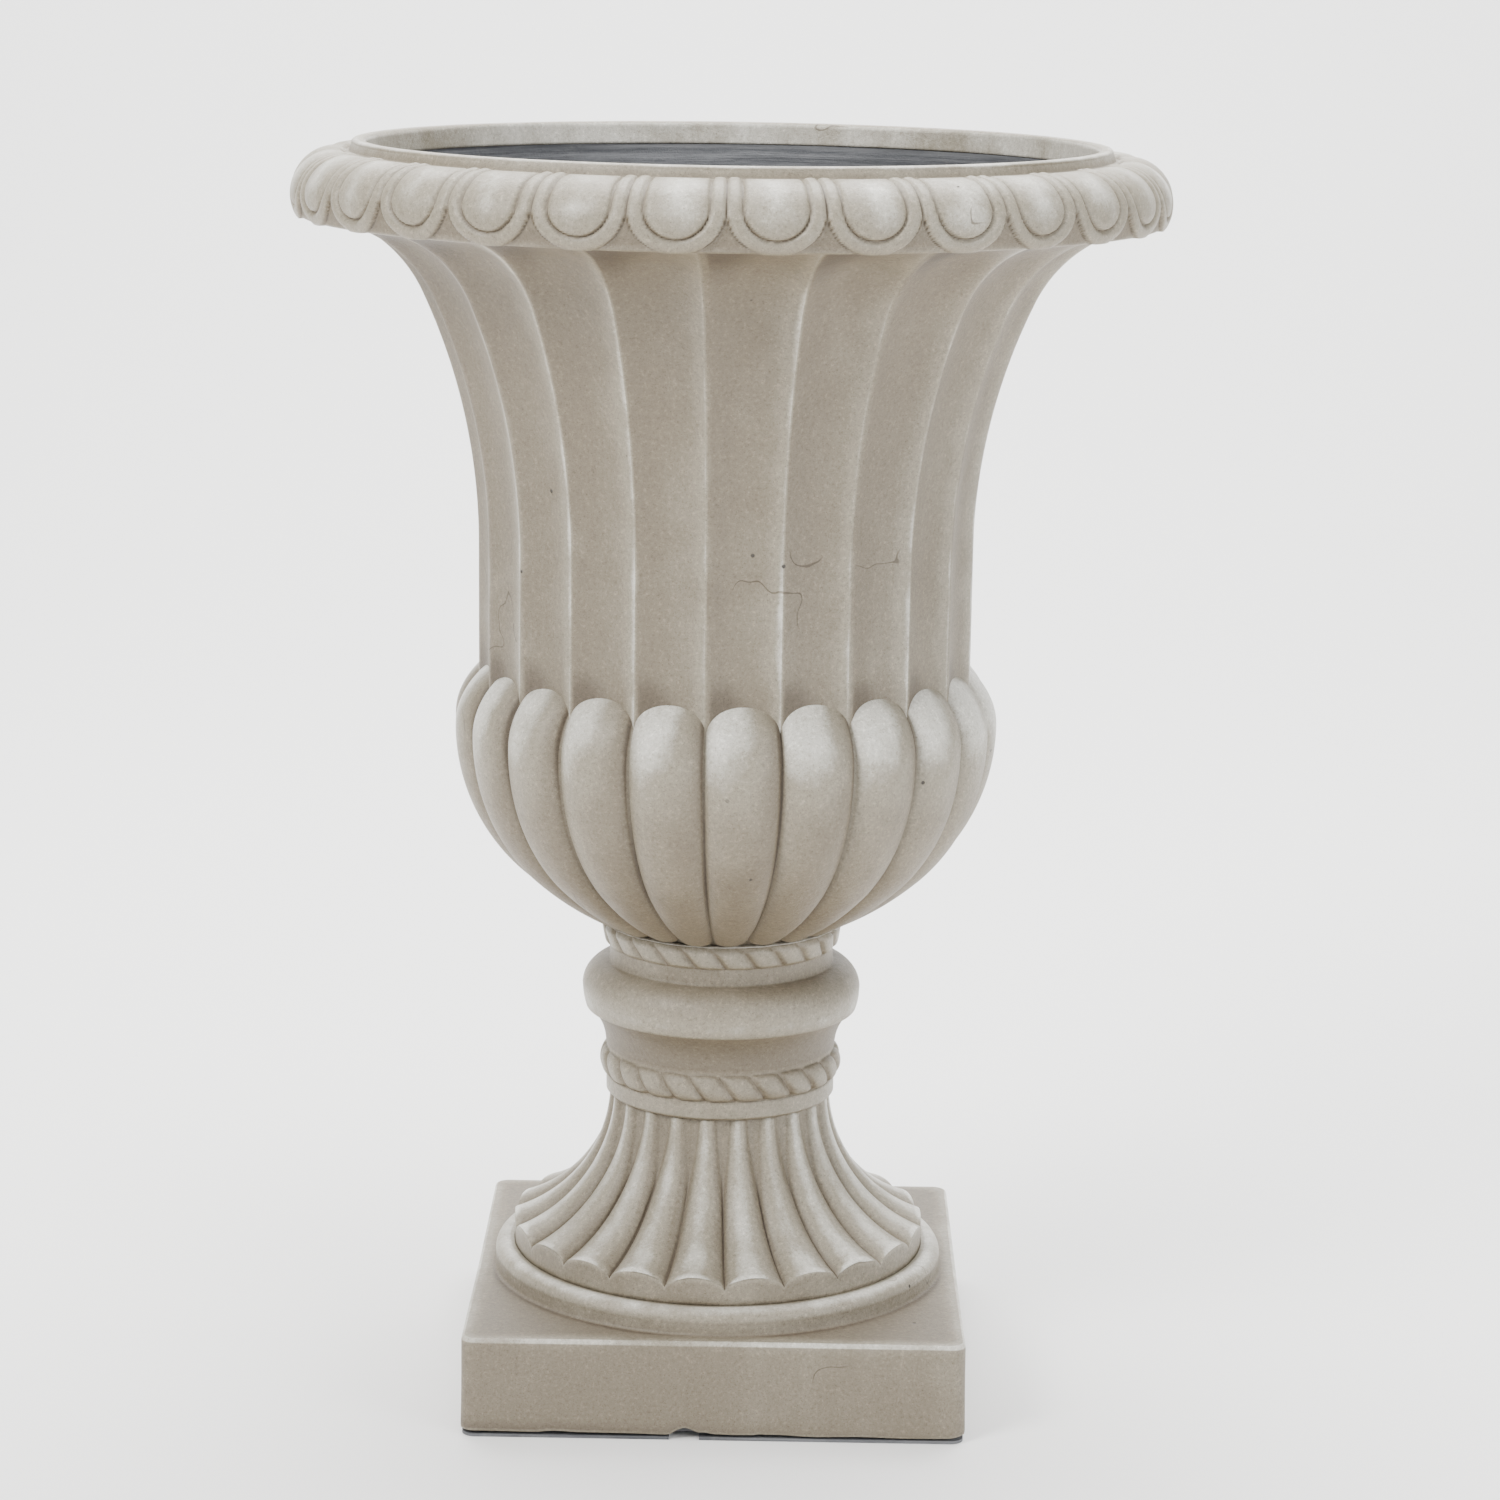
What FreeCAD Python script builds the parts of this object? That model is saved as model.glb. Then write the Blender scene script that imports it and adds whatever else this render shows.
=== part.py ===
import FreeCAD, Part
import Sketcher
import math
import os

# A tall garden urn: a fluted bell over a gadrooned bowl on a turned stem, a reeded foot and a
# square hollow plinth. Castings stacked on thin mortar beds are drawn together by one tie rod.
# Millimetres, +Z up, origin on the ground under the middle of the plinth.

os.makedirs("parts", exist_ok=True)
doc = FreeCAD.newDocument("urn_planter")
UP = FreeCAD.Vector(0, 0, 1)
ORIGIN = FreeCAD.Vector(0, 0, 0)

# ---------------------------------------------------------------------------------- sizes
SIZES = {
    # plinth
    "plinth_side": 304,
    "plinth_height": 62,
    "plinth_corner": 8,
    "plinth_skin": 7,
    "plinth_hole_radius": 60,
    "raw_edge": 2,
    "raw_inset": 1.5,
    "notch_width": 18,
    "notch_height": 3.4,
    "notch_offset": -17,
    "ring_radius": 133,
    "ring_section": 6,
    "seat_rise": 14,
    "boss_height": 8,
    "boss_wall": 8,
    # joints between castings
    "bed_thickness": 2,
    "stem_bed": 1,
    "spigot_wall": 7,
    "spigot_length": 12,
    "socket_clearance": 1,
    "casting_bore": 50,
    # reeded foot
    "foot_radius": 128.5,
    "foot_height": 96,
    "neck_radius": 69,
    "flare_radius": 88.5,
    "flare_above": 4,
    "flare_turn": 76,
    "reed_count": 22,
    "reed_phase": 2.75,
    "reed_section": 24,
    "reed_depth": 29,
    "reed_core": 10.8,
    "foot_hollow_radius": 100,
    "foot_hollow_depth": 14,
    "foot_hollow_roof": 9,
    # turned stem, each height measured up from the member below
    "band_radius": 71.5,
    "band_height": 12,
    "rope_radius": 75,
    "lower_rope_height": 16,
    "upper_rope_height": 14,
    "rope_chamfer": 3.6,
    "scotia_radius": 72,
    "scotia_fillet": 5,
    "scotia_height": 22,
    "scotia_sag": 2.4,
    "torus_radius": 86.7,
    "torus_lip": 2.2,
    "torus_side": 12,
    "torus_curve": 17,
    "neck_band_radius": 70,
    "neck_band_height": 11,
    # bowl, its gadroons and its fluted bell
    "lobe_count": 22,
    "lobe_phase": -3.5,
    "lobe_section": 30,
    "lobe_depth": 21,
    "lobe_core": 13.5,
    "lobe_lead": 4,
    "bowl_foot_radius": 72,
    "bowl_radius": 166.7,
    "belly_height": 126,
    "belly_curve": 123,
    "belly_turn": 48,
    "under_curve": 208,
    "shoulder_curve": 50,
    "shoulder_turn": 56,
    "flute_section": 50,
    "flute_depth": 35,
    "flute_core": 10,
    "flute_lead": 94,
    "waist_radius": 146.2,
    "waist_height": 235,
    "bell_curve": 363,
    "bell_turn": 25,
    "lip_curve": 87,
    "lip_turn": 76,
    "bell_height": 432,
    # rim
    "rim_radius": 265.2,
    "rim_section": 27,
    "rim_band": 13,
    "egg_count": 30,
    "egg_rise": 3,
    "egg_lift": 32,
    "egg_width_curve": 44,
    "egg_length_curve": 20,
    "egg_depth": 6,
    "egg_turn": 75,
    "collar_radius": 228,
    "collar_top_radius": 224,
    "collar_height": 5,
    "mouth_radius": 216,
    "lip_depth": 14,
    # wall build-up inside the bowl
    "cavity_floor_radius": 80,
    "belly_wall": 19,
    "cavity_radius": 135,
    "cavity_mouth_radius": 219,
    "floor_skin": 12,
    "backing_skin": 6,
    "lay_gap": 0.1,
    # tie rod and its fittings
    "rod_radius": 6,
    "rod_clearance": 0.5,
    "thread_gap": 0.1,
    "rod_end": 8,
    "nut_across_corners": 21.9,
    "nut_height": 10,
    "washer_radius": 15,
    "washer_thickness": 3,
    "sealing_radius": 16,
    "sealing_thickness": 2,
    "bar_length": 190,
    "bar_width": 40,
    "bar_thickness": 8,
    # drain
    "drain_radius": 8,
    "drain_offset": 30,
    "plug_clearance": 0.3,
    "plug_depth": 15,
    "plug_taper": 0.8,
    "plug_head_radius": 12.5,
    "plug_head_thickness": 3.5,
    "plug_knob_radius": 5,
    "plug_neck_radius": 3,
    "plug_knob_height": 12,
    "plug_edge": 1,
}
sheet = doc.addObject("Spreadsheet::Sheet", "Sizes")
for row, (alias, number) in enumerate(SIZES.items(), start=1):
    sheet.set("A%d" % row, alias)
    sheet.set("B%d" % row, str(number))
    sheet.setAlias("B%d" % row, alias)
doc.recompute()


class Size:
    """A length that knows both its number and the expression over the sheet that gives it."""

    def __init__(self, text, value):
        self.text = text
        self.value = value

    def _join(self, sign, other, value):
        text = other.text if isinstance(other, Size) else repr(other)
        return Size("(%s %s %s)" % (self.text, sign, text), value)

    def __add__(self, other):
        return self._join("+", other, self.value + number_of(other))

    def __sub__(self, other):
        return self._join("-", other, self.value - number_of(other))

    def __mul__(self, other):
        return self._join("*", other, self.value * number_of(other))

    def __truediv__(self, other):
        return self._join("/", other, self.value / number_of(other))


def number_of(thing):
    return thing.value if isinstance(thing, Size) else thing


def size(alias):
    return Size("Sizes." + alias, float(sheet.get(alias)))


def n(alias):
    return float(sheet.get(alias))


ZERO = Size("0", 0.0)
LAP = 1  # how far a tool or a joined piece runs on past the face that it meets

# ---------------------------------------------------------------- heights up the stack
plinth_top = size("plinth_height")
ring_seat = plinth_top + size("seat_rise")
foot_base = ring_seat + size("bed_thickness")
foot_top = foot_base + size("foot_height")
stem_base = foot_top + size("stem_bed")
band_top = stem_base + size("band_height")
lower_rope_top = band_top + size("lower_rope_height")
scotia_base = lower_rope_top + size("scotia_fillet")
torus_base = scotia_base + size("scotia_height")
torus_brow = torus_base + size("torus_side")
torus_top = torus_brow + size("torus_curve")
neck_band_top = torus_top + size("neck_band_height")
stem_top = neck_band_top + size("upper_rope_height")
bowl_base = stem_top + size("stem_bed")
bowl_floor = bowl_base + size("floor_skin")
cavity_floor = bowl_floor + size("lay_gap") + size("backing_skin")
bell_top = bowl_base + size("bell_height")
rim_centre = bell_top + size("rim_band")
rim_crown = rim_centre + size("rim_section") - size("egg_rise")
collar_top = rim_crown + size("collar_height") + size("egg_rise")
lip_base = collar_top - size("lip_depth")


def turns(first, last, steps):
    """Angles in equal steps from the first to the last."""
    return [first + (last - first) * step / steps for step in range(steps + 1)]


# ------------------------------------------------------------------------ sketch helpers
def plane_of(body, role):
    return [item for item in body.Origin.OriginFeatures if item.Role == role][0]


def new_body(label):
    body = doc.addObject("PartDesign::Body", label)
    body.Label = label
    return body


def new_sketch(body, name, role):
    sketch = body.newObject("Sketcher::SketchObject", name)
    sketch.AttachmentSupport = [(plane_of(body, role), "")]
    sketch.MapMode = "FlatFace"
    return sketch


def bind(sketch, constraint, length):
    index = sketch.addConstraint(constraint)
    sketch.setExpression("Constraints[%d]" % index, length.text)


def arc_through(start, end, radius, side):
    """An arc edge from start to end, bulging to the left of the way for side +1."""
    along = end - start
    half = along.Length / 2
    left = FreeCAD.Vector(-along.y, along.x, 0).normalize()
    rise = math.sqrt(radius * radius - half * half)
    centre = start + along * 0.5 - left * side * rise
    first = math.atan2(start.y - centre.y, start.x - centre.x)
    last = math.atan2(end.y - centre.y, end.x - centre.x)
    if side > 0:
        first, last = last, first
    circle = Part.Circle(centre, UP, radius)
    return Part.ArcOfCircle(circle, first, last)


def draw_outline(sketch, points):
    """A closed outline. Each point is (x, y), or (x, y, radius, side) when an arc leads to it."""
    spots = [FreeCAD.Vector(p[0].value, p[1].value, 0) for p in points]
    ends = []
    for index, target in enumerate(points):
        start, end = spots[index - 1], spots[index]
        if len(target) == 4:
            radius, side = target[2], target[3]
            edge = sketch.addGeometry(arc_through(start, end, radius.value, side), False)
            ends.append((edge, 2, 1) if side > 0 else (edge, 1, 2))
            bind(sketch, Sketcher.Constraint("Radius", edge, radius.value), radius)
        else:
            edge = sketch.addGeometry(Part.LineSegment(start, end), False)
            ends.append((edge, 1, 2))
    for index, (edge, first, last) in enumerate(ends):
        following = ends[(index + 1) % len(ends)]
        sketch.addConstraint(Sketcher.Constraint("Coincident", edge, last, following[0], following[1]))
        for kind, length in (("DistanceX", points[index][0]), ("DistanceY", points[index][1])):
            if length is ZERO:
                axis = -2 if kind == "DistanceX" else -1
                sketch.addConstraint(Sketcher.Constraint("PointOnObject", edge, last, axis))
            else:
                bind(sketch, Sketcher.Constraint(kind, -1, 1, edge, last, length.value), length)


def revolved(body, name, points, kind="PartDesign::Revolution"):
    """The outline in the XZ plane turned once about Z."""
    sketch = new_sketch(body, name + "_outline", "XZ_Plane")
    draw_outline(sketch, points)
    turn = body.newObject(kind, name)
    turn.Profile = sketch
    turn.ReferenceAxis = (sketch, ["V_Axis"])
    turn.Angle = 360
    sketch.Visibility = False
    return turn


def quarter_round(outer, low, radius, steps):
    """Points in equal steps round an upper outer edge, from its side up to its top."""
    points = []
    for turn in turns(0, 90, steps):
        angle = math.radians(turn)
        points.append((outer - radius * (1 - math.cos(angle)), low + radius * math.sin(angle)))
    return points


def hollow_steps(start, end, sag, steps):
    """Points in equal steps from start to end along a shallow hollow of the given sag."""
    points = []
    for step in range(steps + 1):
        share = step / steps
        depth = sag * (4 * share * (1 - share))
        x = start[0] + (end[0] - start[0]) * share - depth
        points.append((x, start[1] + (end[1] - start[1]) * share))
    return points


def turned_piece(label, points):
    body = new_body(label)
    revolved(body, label + "_turn", points)
    return body


def tube(label, inner, outer, low, high):
    return turned_piece(label, [(inner, low), (outer, low), (outer, high), (inner, high)])


def rectangle_sketch(body, name, length, width, corner=None):
    sketch = new_sketch(body, name, "XY_Plane")
    x, y = length / 2, width / 2
    less_x, less_y = x * -1, y * -1
    if corner is None:
        draw_outline(sketch, [(x, less_y), (x, y), (less_x, y), (less_x, less_y)])
        return sketch
    points = []
    for sx, sy in ((1, -1), (1, 1), (-1, 1), (-1, -1)):
        flat = (x * sx, (y - corner) * sy)
        side = ((x - corner) * sx, y * sy)
        first, second = (side, flat) if sx * sy < 0 else (flat, side)
        points.append(first)
        points.append(second + (corner, -1))
    draw_outline(sketch, points)
    return sketch


def extruded(body, name, sketch, low, high, kind="PartDesign::Pad"):
    """A pad or pocket of the sketch between two heights."""
    sketch.setExpression("AttachmentOffset.Base.z", low.text)
    feature = body.newObject(kind, name)
    feature.Profile = sketch
    feature.setExpression("Length", (high - low).text)
    if kind == "PartDesign::Pocket":
        feature.Reversed = True
    sketch.Visibility = False
    return feature


def solid_feature(name, shape):
    feature = doc.addObject("Part::Feature", name)
    feature.Shape = shape
    return feature


def fused(name, pieces):
    fusion = doc.addObject("Part::MultiFuse", name)
    fusion.Shapes = pieces
    return fusion


def less(name, base, tool):
    cut = doc.addObject("Part::Cut", name)
    cut.Base = base
    cut.Tool = tool
    cut.Label = name
    return cut


def cylinder(name, radius, low, high, x=ZERO):
    rod = doc.addObject("Part::Cylinder", name)
    rod.setExpression("Radius", radius.text)
    rod.setExpression("Height", (high - low).text)
    rod.setExpression("Placement.Base.z", low.text)
    rod.setExpression("Placement.Base.x", x.text)
    return rod


# ---------------------------------------------------------------- repeated sectors of a ring
# Paths and outlines here are (radius, height) pairs in the plane y = 0.
def at(pair, y=0.0):
    return FreeCAD.Vector(pair[0], y, pair[1])


def turned_by(shape, degrees):
    copy = shape.copy()
    copy.rotate(ORIGIN, UP, degrees)
    return copy


def wedge(outline, angle):
    """The outline turned through the sector's angle, half each way from the plane y = 0."""
    face = Part.Face(Part.makePolygon([at(pair) for pair in outline + outline[:1]]))
    return turned_by(face.revolve(ORIGIN, UP, angle), -angle / 2)


def arc_points(centre, radius, degrees):
    pairs = []
    for angle in degrees:
        turn = math.radians(angle)
        pairs.append((centre[0] + radius * math.cos(turn), centre[1] + radius * math.sin(turn)))
    return pairs


def offset_path(path, distance):
    """The path moved sideways, to the left of its own way for a positive distance."""
    moved = []
    for spot, mitre in zip(path, mitres(path)):
        moved.append((spot[0] + mitre[0] * distance, spot[1] + mitre[1] * distance))
    return moved


def mitres(path):
    """At each point of a path, the step that moves both runs beside it one unit to the left."""
    normals = []
    for first, second in zip(path, path[1:]):
        run = math.hypot(second[0] - first[0], second[1] - first[1])
        normals.append(((first[1] - second[1]) / run, (second[0] - first[0]) / run))
    steps = []
    for index in range(len(path)):
        before = normals[max(index - 1, 0)]
        after = normals[min(index, len(normals) - 1)]
        across = (before[0] + after[0], before[1] + after[1])
        scale = 2 / (across[0] ** 2 + across[1] ** 2)
        steps.append((across[0] * scale, across[1] * scale))
    return steps


def round_runs(path, radius, side, deep):
    """Round bars mitred end to end, whose nearest line runs along the path.

    The bars' middles lie to the left of the path for side +1. Each bar is kept from just
    past the path to deep on the side of its middle.
    """
    bars = []
    axis = offset_path(path, side * radius)
    near = offset_path(path, -side * LAP)
    far = offset_path(path, side * deep)
    for index in range(len(path) - 1):
        first, second = axis[index], axis[index + 1]
        way = (at(second) - at(first)).normalize()
        start = at(first) - way * 2 * radius
        bar = Part.makeCylinder(radius, (at(second) - start).Length + 2 * radius, start, way)
        bar.rotate(start, way, 180)
        corners = [near[index], near[index + 1], far[index + 1], far[index]]
        cell = Part.Face(Part.makePolygon([at(pair, -2 * radius) for pair in corners + corners[:1]]))
        bars.append(bar.common(cell.extrude(FreeCAD.Vector(0, 4 * radius, 0))))
    return bars


def ring_of(sector, count, phase):
    """Copies of one sector sewn side by side into a single solid."""
    half = 180 / count
    outside = []
    for face in sector.Faces:
        middle = face.CenterOfMass
        bearing = math.degrees(math.atan2(middle.y, middle.x))
        flat = isinstance(face.Surface, Part.Plane) and abs(face.Surface.Axis.z) < 1e-6
        if not (flat and abs(abs(bearing) - half) < 1e-4):
            outside.append(face)
    faces = [turned_by(face, phase + k * 360 / count) for k in range(count) for face in outside]
    shell = Part.Shell(faces)
    shell.sewShape()
    solid = Part.Solid(shell)
    if solid.Volume < 0:
        solid.reverse()
    return solid.removeSplitter()


# --------------------------------------------------------------------------------- plinth
def make_plinth():
    """The square face casting with its round seat, and the raw backing laid up inside it."""
    side = size("plinth_side")
    skin = size("plinth_skin")
    room = side - skin * 2
    face_top = plinth_top - skin
    hole = size("plinth_hole_radius")

    face = new_body("plinth_face")
    block = rectangle_sketch(face, "plinth_block_plan", side, side, size("plinth_corner"))
    extruded(face, "plinth_block", block, size("raw_edge"), plinth_top)
    inner = size("foot_hollow_radius") - size("socket_clearance")
    ring = size("ring_radius")
    radius = size("ring_section")
    revolved(
        face,
        "plinth_seat",
        [
            (inner - size("boss_wall"), plinth_top - LAP),
            (ring + radius, plinth_top - LAP),
            *quarter_round(ring + radius, ring_seat - radius, radius, 3),
            (inner, ring_seat),
            (inner, ring_seat + size("boss_height")),
            (inner - size("boss_wall"), ring_seat + size("boss_height")),
        ],
    )
    under = rectangle_sketch(face, "plinth_room_plan", room, room)
    extruded(face, "plinth_room", under, size("raw_edge"), face_top, "PartDesign::Pocket")
    revolved(
        face,
        "plinth_opening",
        [(ZERO, ZERO), (hole, ZERO), (hole, plinth_top), (ZERO, plinth_top)],
        "PartDesign::Groove",
    )

    backing = new_body("plinth_backing_block")
    wide = side - size("raw_inset") * 2
    flange = rectangle_sketch(backing, "flange_plan", wide, wide, size("plinth_corner"))
    extruded(backing, "flange", flange, ZERO, size("raw_edge") - size("lay_gap"))
    outer = room - size("lay_gap") * 2
    walls = rectangle_sketch(backing, "lining_plan", outer, outer)
    extruded(backing, "lining", walls, ZERO, face_top - size("lay_gap"))
    within = outer - skin * 2
    hollow = rectangle_sketch(backing, "hollow_plan", within, within)
    extruded(backing, "hollow", hollow, ZERO, bar_top(), "PartDesign::Pocket")
    revolved(
        backing,
        "lining_opening",
        [(ZERO, ZERO), (hole, ZERO), (hole, plinth_top), (ZERO, plinth_top)],
        "PartDesign::Groove",
    )
    for body, label in ((face, "plinth_face"), (backing, "plinth_backing")):
        notch = doc.addObject("Part::Box", "drain_notch_" + label)
        notch.setExpression("Length", size("notch_width").text)
        notch.setExpression("Width", (skin * 3).text)
        notch.setExpression("Height", size("notch_height").text)
        notch.setExpression("Placement.Base.x", (size("notch_offset") - size("notch_width") / 2).text)
        notch.setExpression("Placement.Base.y", (side / -2).text)
        body.Label = label + "_blank"
        less(label, body, notch)


def bar_top():
    """The underside of the plinth's top, where the clamp bar bears."""
    return plinth_top - size("plinth_skin") * 2 - size("lay_gap")


# ----------------------------------------------------------------------------------- foot
def make_foot():
    """Convex reeds sweep down the flare and end in a scalloped edge; the casting is hollow."""
    count = int(n("reed_count"))
    top = foot_top.value
    base = foot_base.value
    curve = n("flare_radius")
    centre = (n("neck_radius") + curve, top + n("flare_above"))
    crest = arc_points(centre, curve, turns(180, 180 + n("flare_turn"), 5))
    reeds = round_runs(crest, n("reed_section"), -1, n("reed_depth"))
    under = offset_path(crest, -n("reed_core"))
    bore = n("casting_bore") - n("socket_clearance") - n("spigot_wall")
    core = [(bore, base), (n("foot_radius"), base)] + under[::-1] + [(bore, under[0][1])]
    sector = wedge(core, 360 / count)
    for reed in reeds:
        sector = sector.fuse(reed)
    keep = [(bore, base), (n("foot_radius"), base), (n("foot_radius"), top), (bore, top)]
    sector = sector.common(wedge(keep, 360 / count))
    reeded = solid_feature("reeded_flare", ring_of(sector, count, n("reed_phase")))

    spigot_radius = size("casting_bore") - size("socket_clearance")
    inside = spigot_radius - size("spigot_wall")
    spigot_top = foot_top + size("spigot_length")
    spigot = tube("foot_spigot", inside, spigot_radius, foot_top - size("spigot_length"), spigot_top)
    hollow = turned_piece(
        "foot_hollow",
        [
            (ZERO, foot_base),
            (size("foot_hollow_radius"), foot_base),
            (size("foot_hollow_radius"), foot_base + size("foot_hollow_depth")),
            (inside, foot_top - size("foot_hollow_roof")),
            (inside, spigot_top),
            (ZERO, spigot_top),
        ],
    )
    less("foot", fused("foot_blank", [reeded, spigot]), hollow)


# ----------------------------------------------------------------------------------- stem
def make_stem():
    """Turned members from the lower band to the upper rope ring, bored right through."""
    band = size("band_radius")
    rope = size("rope_radius")
    slope = size("rope_chamfer")
    scotia = size("scotia_radius")
    torus = size("torus_radius")
    under = torus - size("torus_lip")
    neck = size("neck_band_radius")
    bore = size("casting_bore")
    turned_piece(
        "stem",
        [
            (bore, stem_base),
            (band, stem_base),
            (band, band_top),
            (rope, band_top + slope),
            (rope, lower_rope_top - slope),
            (scotia, lower_rope_top),
            *hollow_steps((scotia, scotia_base), (under, torus_base), size("scotia_sag"), 4),
            (torus, torus_brow - size("torus_side") / 2),
            *quarter_round(torus, torus_brow, size("torus_curve"), 4),
            (neck, torus_top),
            (neck, neck_band_top),
            (rope, neck_band_top + slope),
            (rope, stem_top - slope / 2),
            (rope - slope / 2, stem_top),
            (bore, stem_top),
        ],
    )


# ----------------------------------------------------------------------------------- bowl
def belly_centre():
    return n("bowl_radius") - n("belly_curve"), bowl_base.value + n("belly_height")


def bell_centres():
    """Centres of the two curves that the flutes' hollows follow, lower and upper."""
    lower = (n("waist_radius") + n("bell_curve"), bowl_base.value + n("waist_height"))
    gap = n("bell_curve") - n("lip_curve")
    return lower, arc_points(lower, gap, [180 - n("bell_turn")])[0]


def bell_line(inwards, end):
    """The line up the bell from its waist to a turn of end degrees, moved towards the inside."""
    lower, upper = bell_centres()
    bend = 180 - n("bell_turn")
    line = arc_points(lower, n("bell_curve") + inwards, turns(180, bend, 2))
    return line + arc_points(upper, n("lip_curve") + inwards, turns(bend, 180 - end, 3)[1:])


def gadroon_line():
    """The gadroons' crests, from under the bowl's foot round the belly to the arch tops."""
    belly = belly_centre()
    bend = n("belly_turn")
    under = arc_points(belly, n("under_curve") - n("belly_curve"), [180 - bend])[0]
    drop = math.degrees(math.asin((under[1] - bowl_base.value) / n("under_curve")))
    line = arc_points(under, n("under_curve"), turns(-drop - n("lobe_lead"), -bend, 2)[:-1])
    line += arc_points(belly, n("belly_curve"), turns(-bend, 0, 3))
    shoulder = (n("bowl_radius") - n("shoulder_curve"), belly[1])
    return line + arc_points(shoulder, n("shoulder_curve"), turns(0, n("shoulder_turn"), 2)[1:])


def make_fluted_bowl():
    """One flute over one gadroon, repeated round the bowl."""
    count = int(n("lobe_count"))
    angle = 360 / count
    base = bowl_base.value
    top = rim_centre.value - n("rim_band") / 2
    bore = n("rod_radius") + n("rod_clearance")
    section = n("flute_section")

    valley = bell_line(0, n("lip_turn"))
    valley.insert(0, (valley[0][0], valley[0][1] - n("flute_lead")))
    valley.append((valley[-1][0] + section, valley[-1][1] + n("rim_band")))
    outer = offset_path(valley, -n("flute_core"))[:-1]
    crest = gadroon_line()
    core = offset_path(crest, n("lobe_core"))[1:-1]
    blank = [(bore, base), (n("bowl_foot_radius"), base)] + core + outer
    blank += [(outer[-1][0], top), (bore, top)]
    sector = wedge(blank, angle)
    for flute in round_runs(valley, section, -1, n("flute_depth")):
        sector = sector.cut(flute)
    for lobe in round_runs(crest, n("lobe_section"), 1, n("lobe_depth")):
        sector = sector.fuse(lobe)
    keep = [(bore, base), (n("rim_radius"), base), (n("rim_radius"), top), (bore, top)]
    sector = sector.common(wedge(keep, angle))
    return solid_feature("fluted_bowl", ring_of(sector, count, n("lobe_phase")))


def make_rim():
    """The rolled rim with its collar, one egg to each sector."""
    count = int(n("egg_count"))
    middle = (n("rim_radius") - n("rim_section"), rim_centre.value)
    ground = n("rim_section") - n("egg_rise")
    foot = -math.degrees(math.asin(n("rim_band") / ground))
    outline = arc_points(middle, ground, turns(foot, 90, 8))
    top = collar_top.value
    outline += [(n("collar_radius"), outline[-1][1]), (n("collar_top_radius"), top)]
    outline += [(n("mouth_radius"), top), (n("mouth_radius"), bell_top.value)]
    sector = wedge(outline, 360 / count)

    lift = n("egg_lift")
    reach = n("egg_length_curve")
    hub = arc_points(middle, n("rim_section") - reach, [lift])[0]
    crest = arc_points(hub, reach, turns(lift - n("egg_turn"), lift + n("egg_turn"), 5))
    for run in round_runs(crest, n("egg_width_curve"), 1, n("egg_depth")):
        sector = sector.fuse(run)
    return solid_feature("egg_rim", ring_of(sector, count, 0))


def cavity_line():
    """The inside of the finished bowl, from the middle of its floor to under the lip."""
    floor = cavity_floor.value
    wide = n("cavity_radius")
    belly = belly_centre()
    curve = n("belly_curve") - n("belly_wall")
    side = math.degrees(math.acos((wide - belly[0]) / curve))
    line = [(0, floor), (n("cavity_floor_radius"), floor)]
    line += arc_points(belly, curve, (-n("belly_turn"), -side))
    inwards = n("waist_radius") - wide
    upper = bell_centres()[1]
    end = math.degrees(math.acos((upper[0] - n("cavity_mouth_radius")) / (n("lip_curve") + inwards)))
    return line + bell_line(inwards, end) + [(n("cavity_mouth_radius"), lip_base.value)]


def make_bowl():
    """The face casting of the bowl, the raw backing inside it and the screed on its floor."""
    inside = cavity_line()
    outside = offset_path(inside, -n("backing_skin"))
    room = offset_path(inside, -n("backing_skin") - n("lay_gap"))
    laid = solid_feature("backing_blank", wedge(outside + inside[::-1], 360))
    hollow = solid_feature("bowl_hollow", wedge(room + [(0, lip_base.value)], 360))

    rod_hole_radius = size("rod_radius") + size("rod_clearance")
    low = bowl_base - size("spigot_length") * 2
    over = cavity_floor + LAP
    rod_hole = cylinder("bowl_rod_hole", rod_hole_radius, low, over)
    drain = cylinder("drain_hole", size("drain_radius"), low, over, size("drain_offset"))
    outer = size("casting_bore") - size("socket_clearance")
    spigot_low = bowl_base - size("spigot_length")
    spigot = tube("bowl_spigot", outer - size("spigot_wall"), outer, spigot_low, bowl_base + LAP)
    blank = fused("bowl_blank", [make_fluted_bowl(), make_rim(), spigot])
    holes = fused("bowl_holes", [rod_hole, drain])
    less("bowl_face", less("bowl_shell", blank, hollow), holes)
    wide = size("cavity_floor_radius")
    less("bowl_backing", laid, cylinder("screed_room", wide, bowl_floor, over))
    screed = cylinder("screed_disc", wide - size("lay_gap"), bowl_floor + size("lay_gap"), cavity_floor)
    less("bowl_screed", screed, holes)


# ---------------------------------------------------------------------- beds, tie rod, plug
def make_beds():
    """Thin mortar beds that the castings sit on."""
    inset = size("bed_thickness")
    bore = size("casting_bore")
    hollow = size("foot_hollow_radius")
    tube("foot_bed", hollow, size("foot_radius") - inset, ring_seat, foot_base)
    tube("stem_bed", bore, size("neck_radius") - inset, foot_top, stem_base)
    tube("bowl_bed", bore, size("neck_band_radius"), stem_top, bowl_base)


def hexagon_nut(label, low):
    prism = doc.addObject("Part::Prism", label + "_blank")
    prism.Polygon = 6
    prism.setExpression("Circumradius", (size("nut_across_corners") / 2).text)
    prism.setExpression("Height", size("nut_height").text)
    prism.setExpression("Placement.Base.z", low.text)
    bore = size("rod_radius") + size("thread_gap")
    less(label, prism, cylinder(label + "_bore", bore, low - LAP, low + size("nut_height") + LAP))


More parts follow.
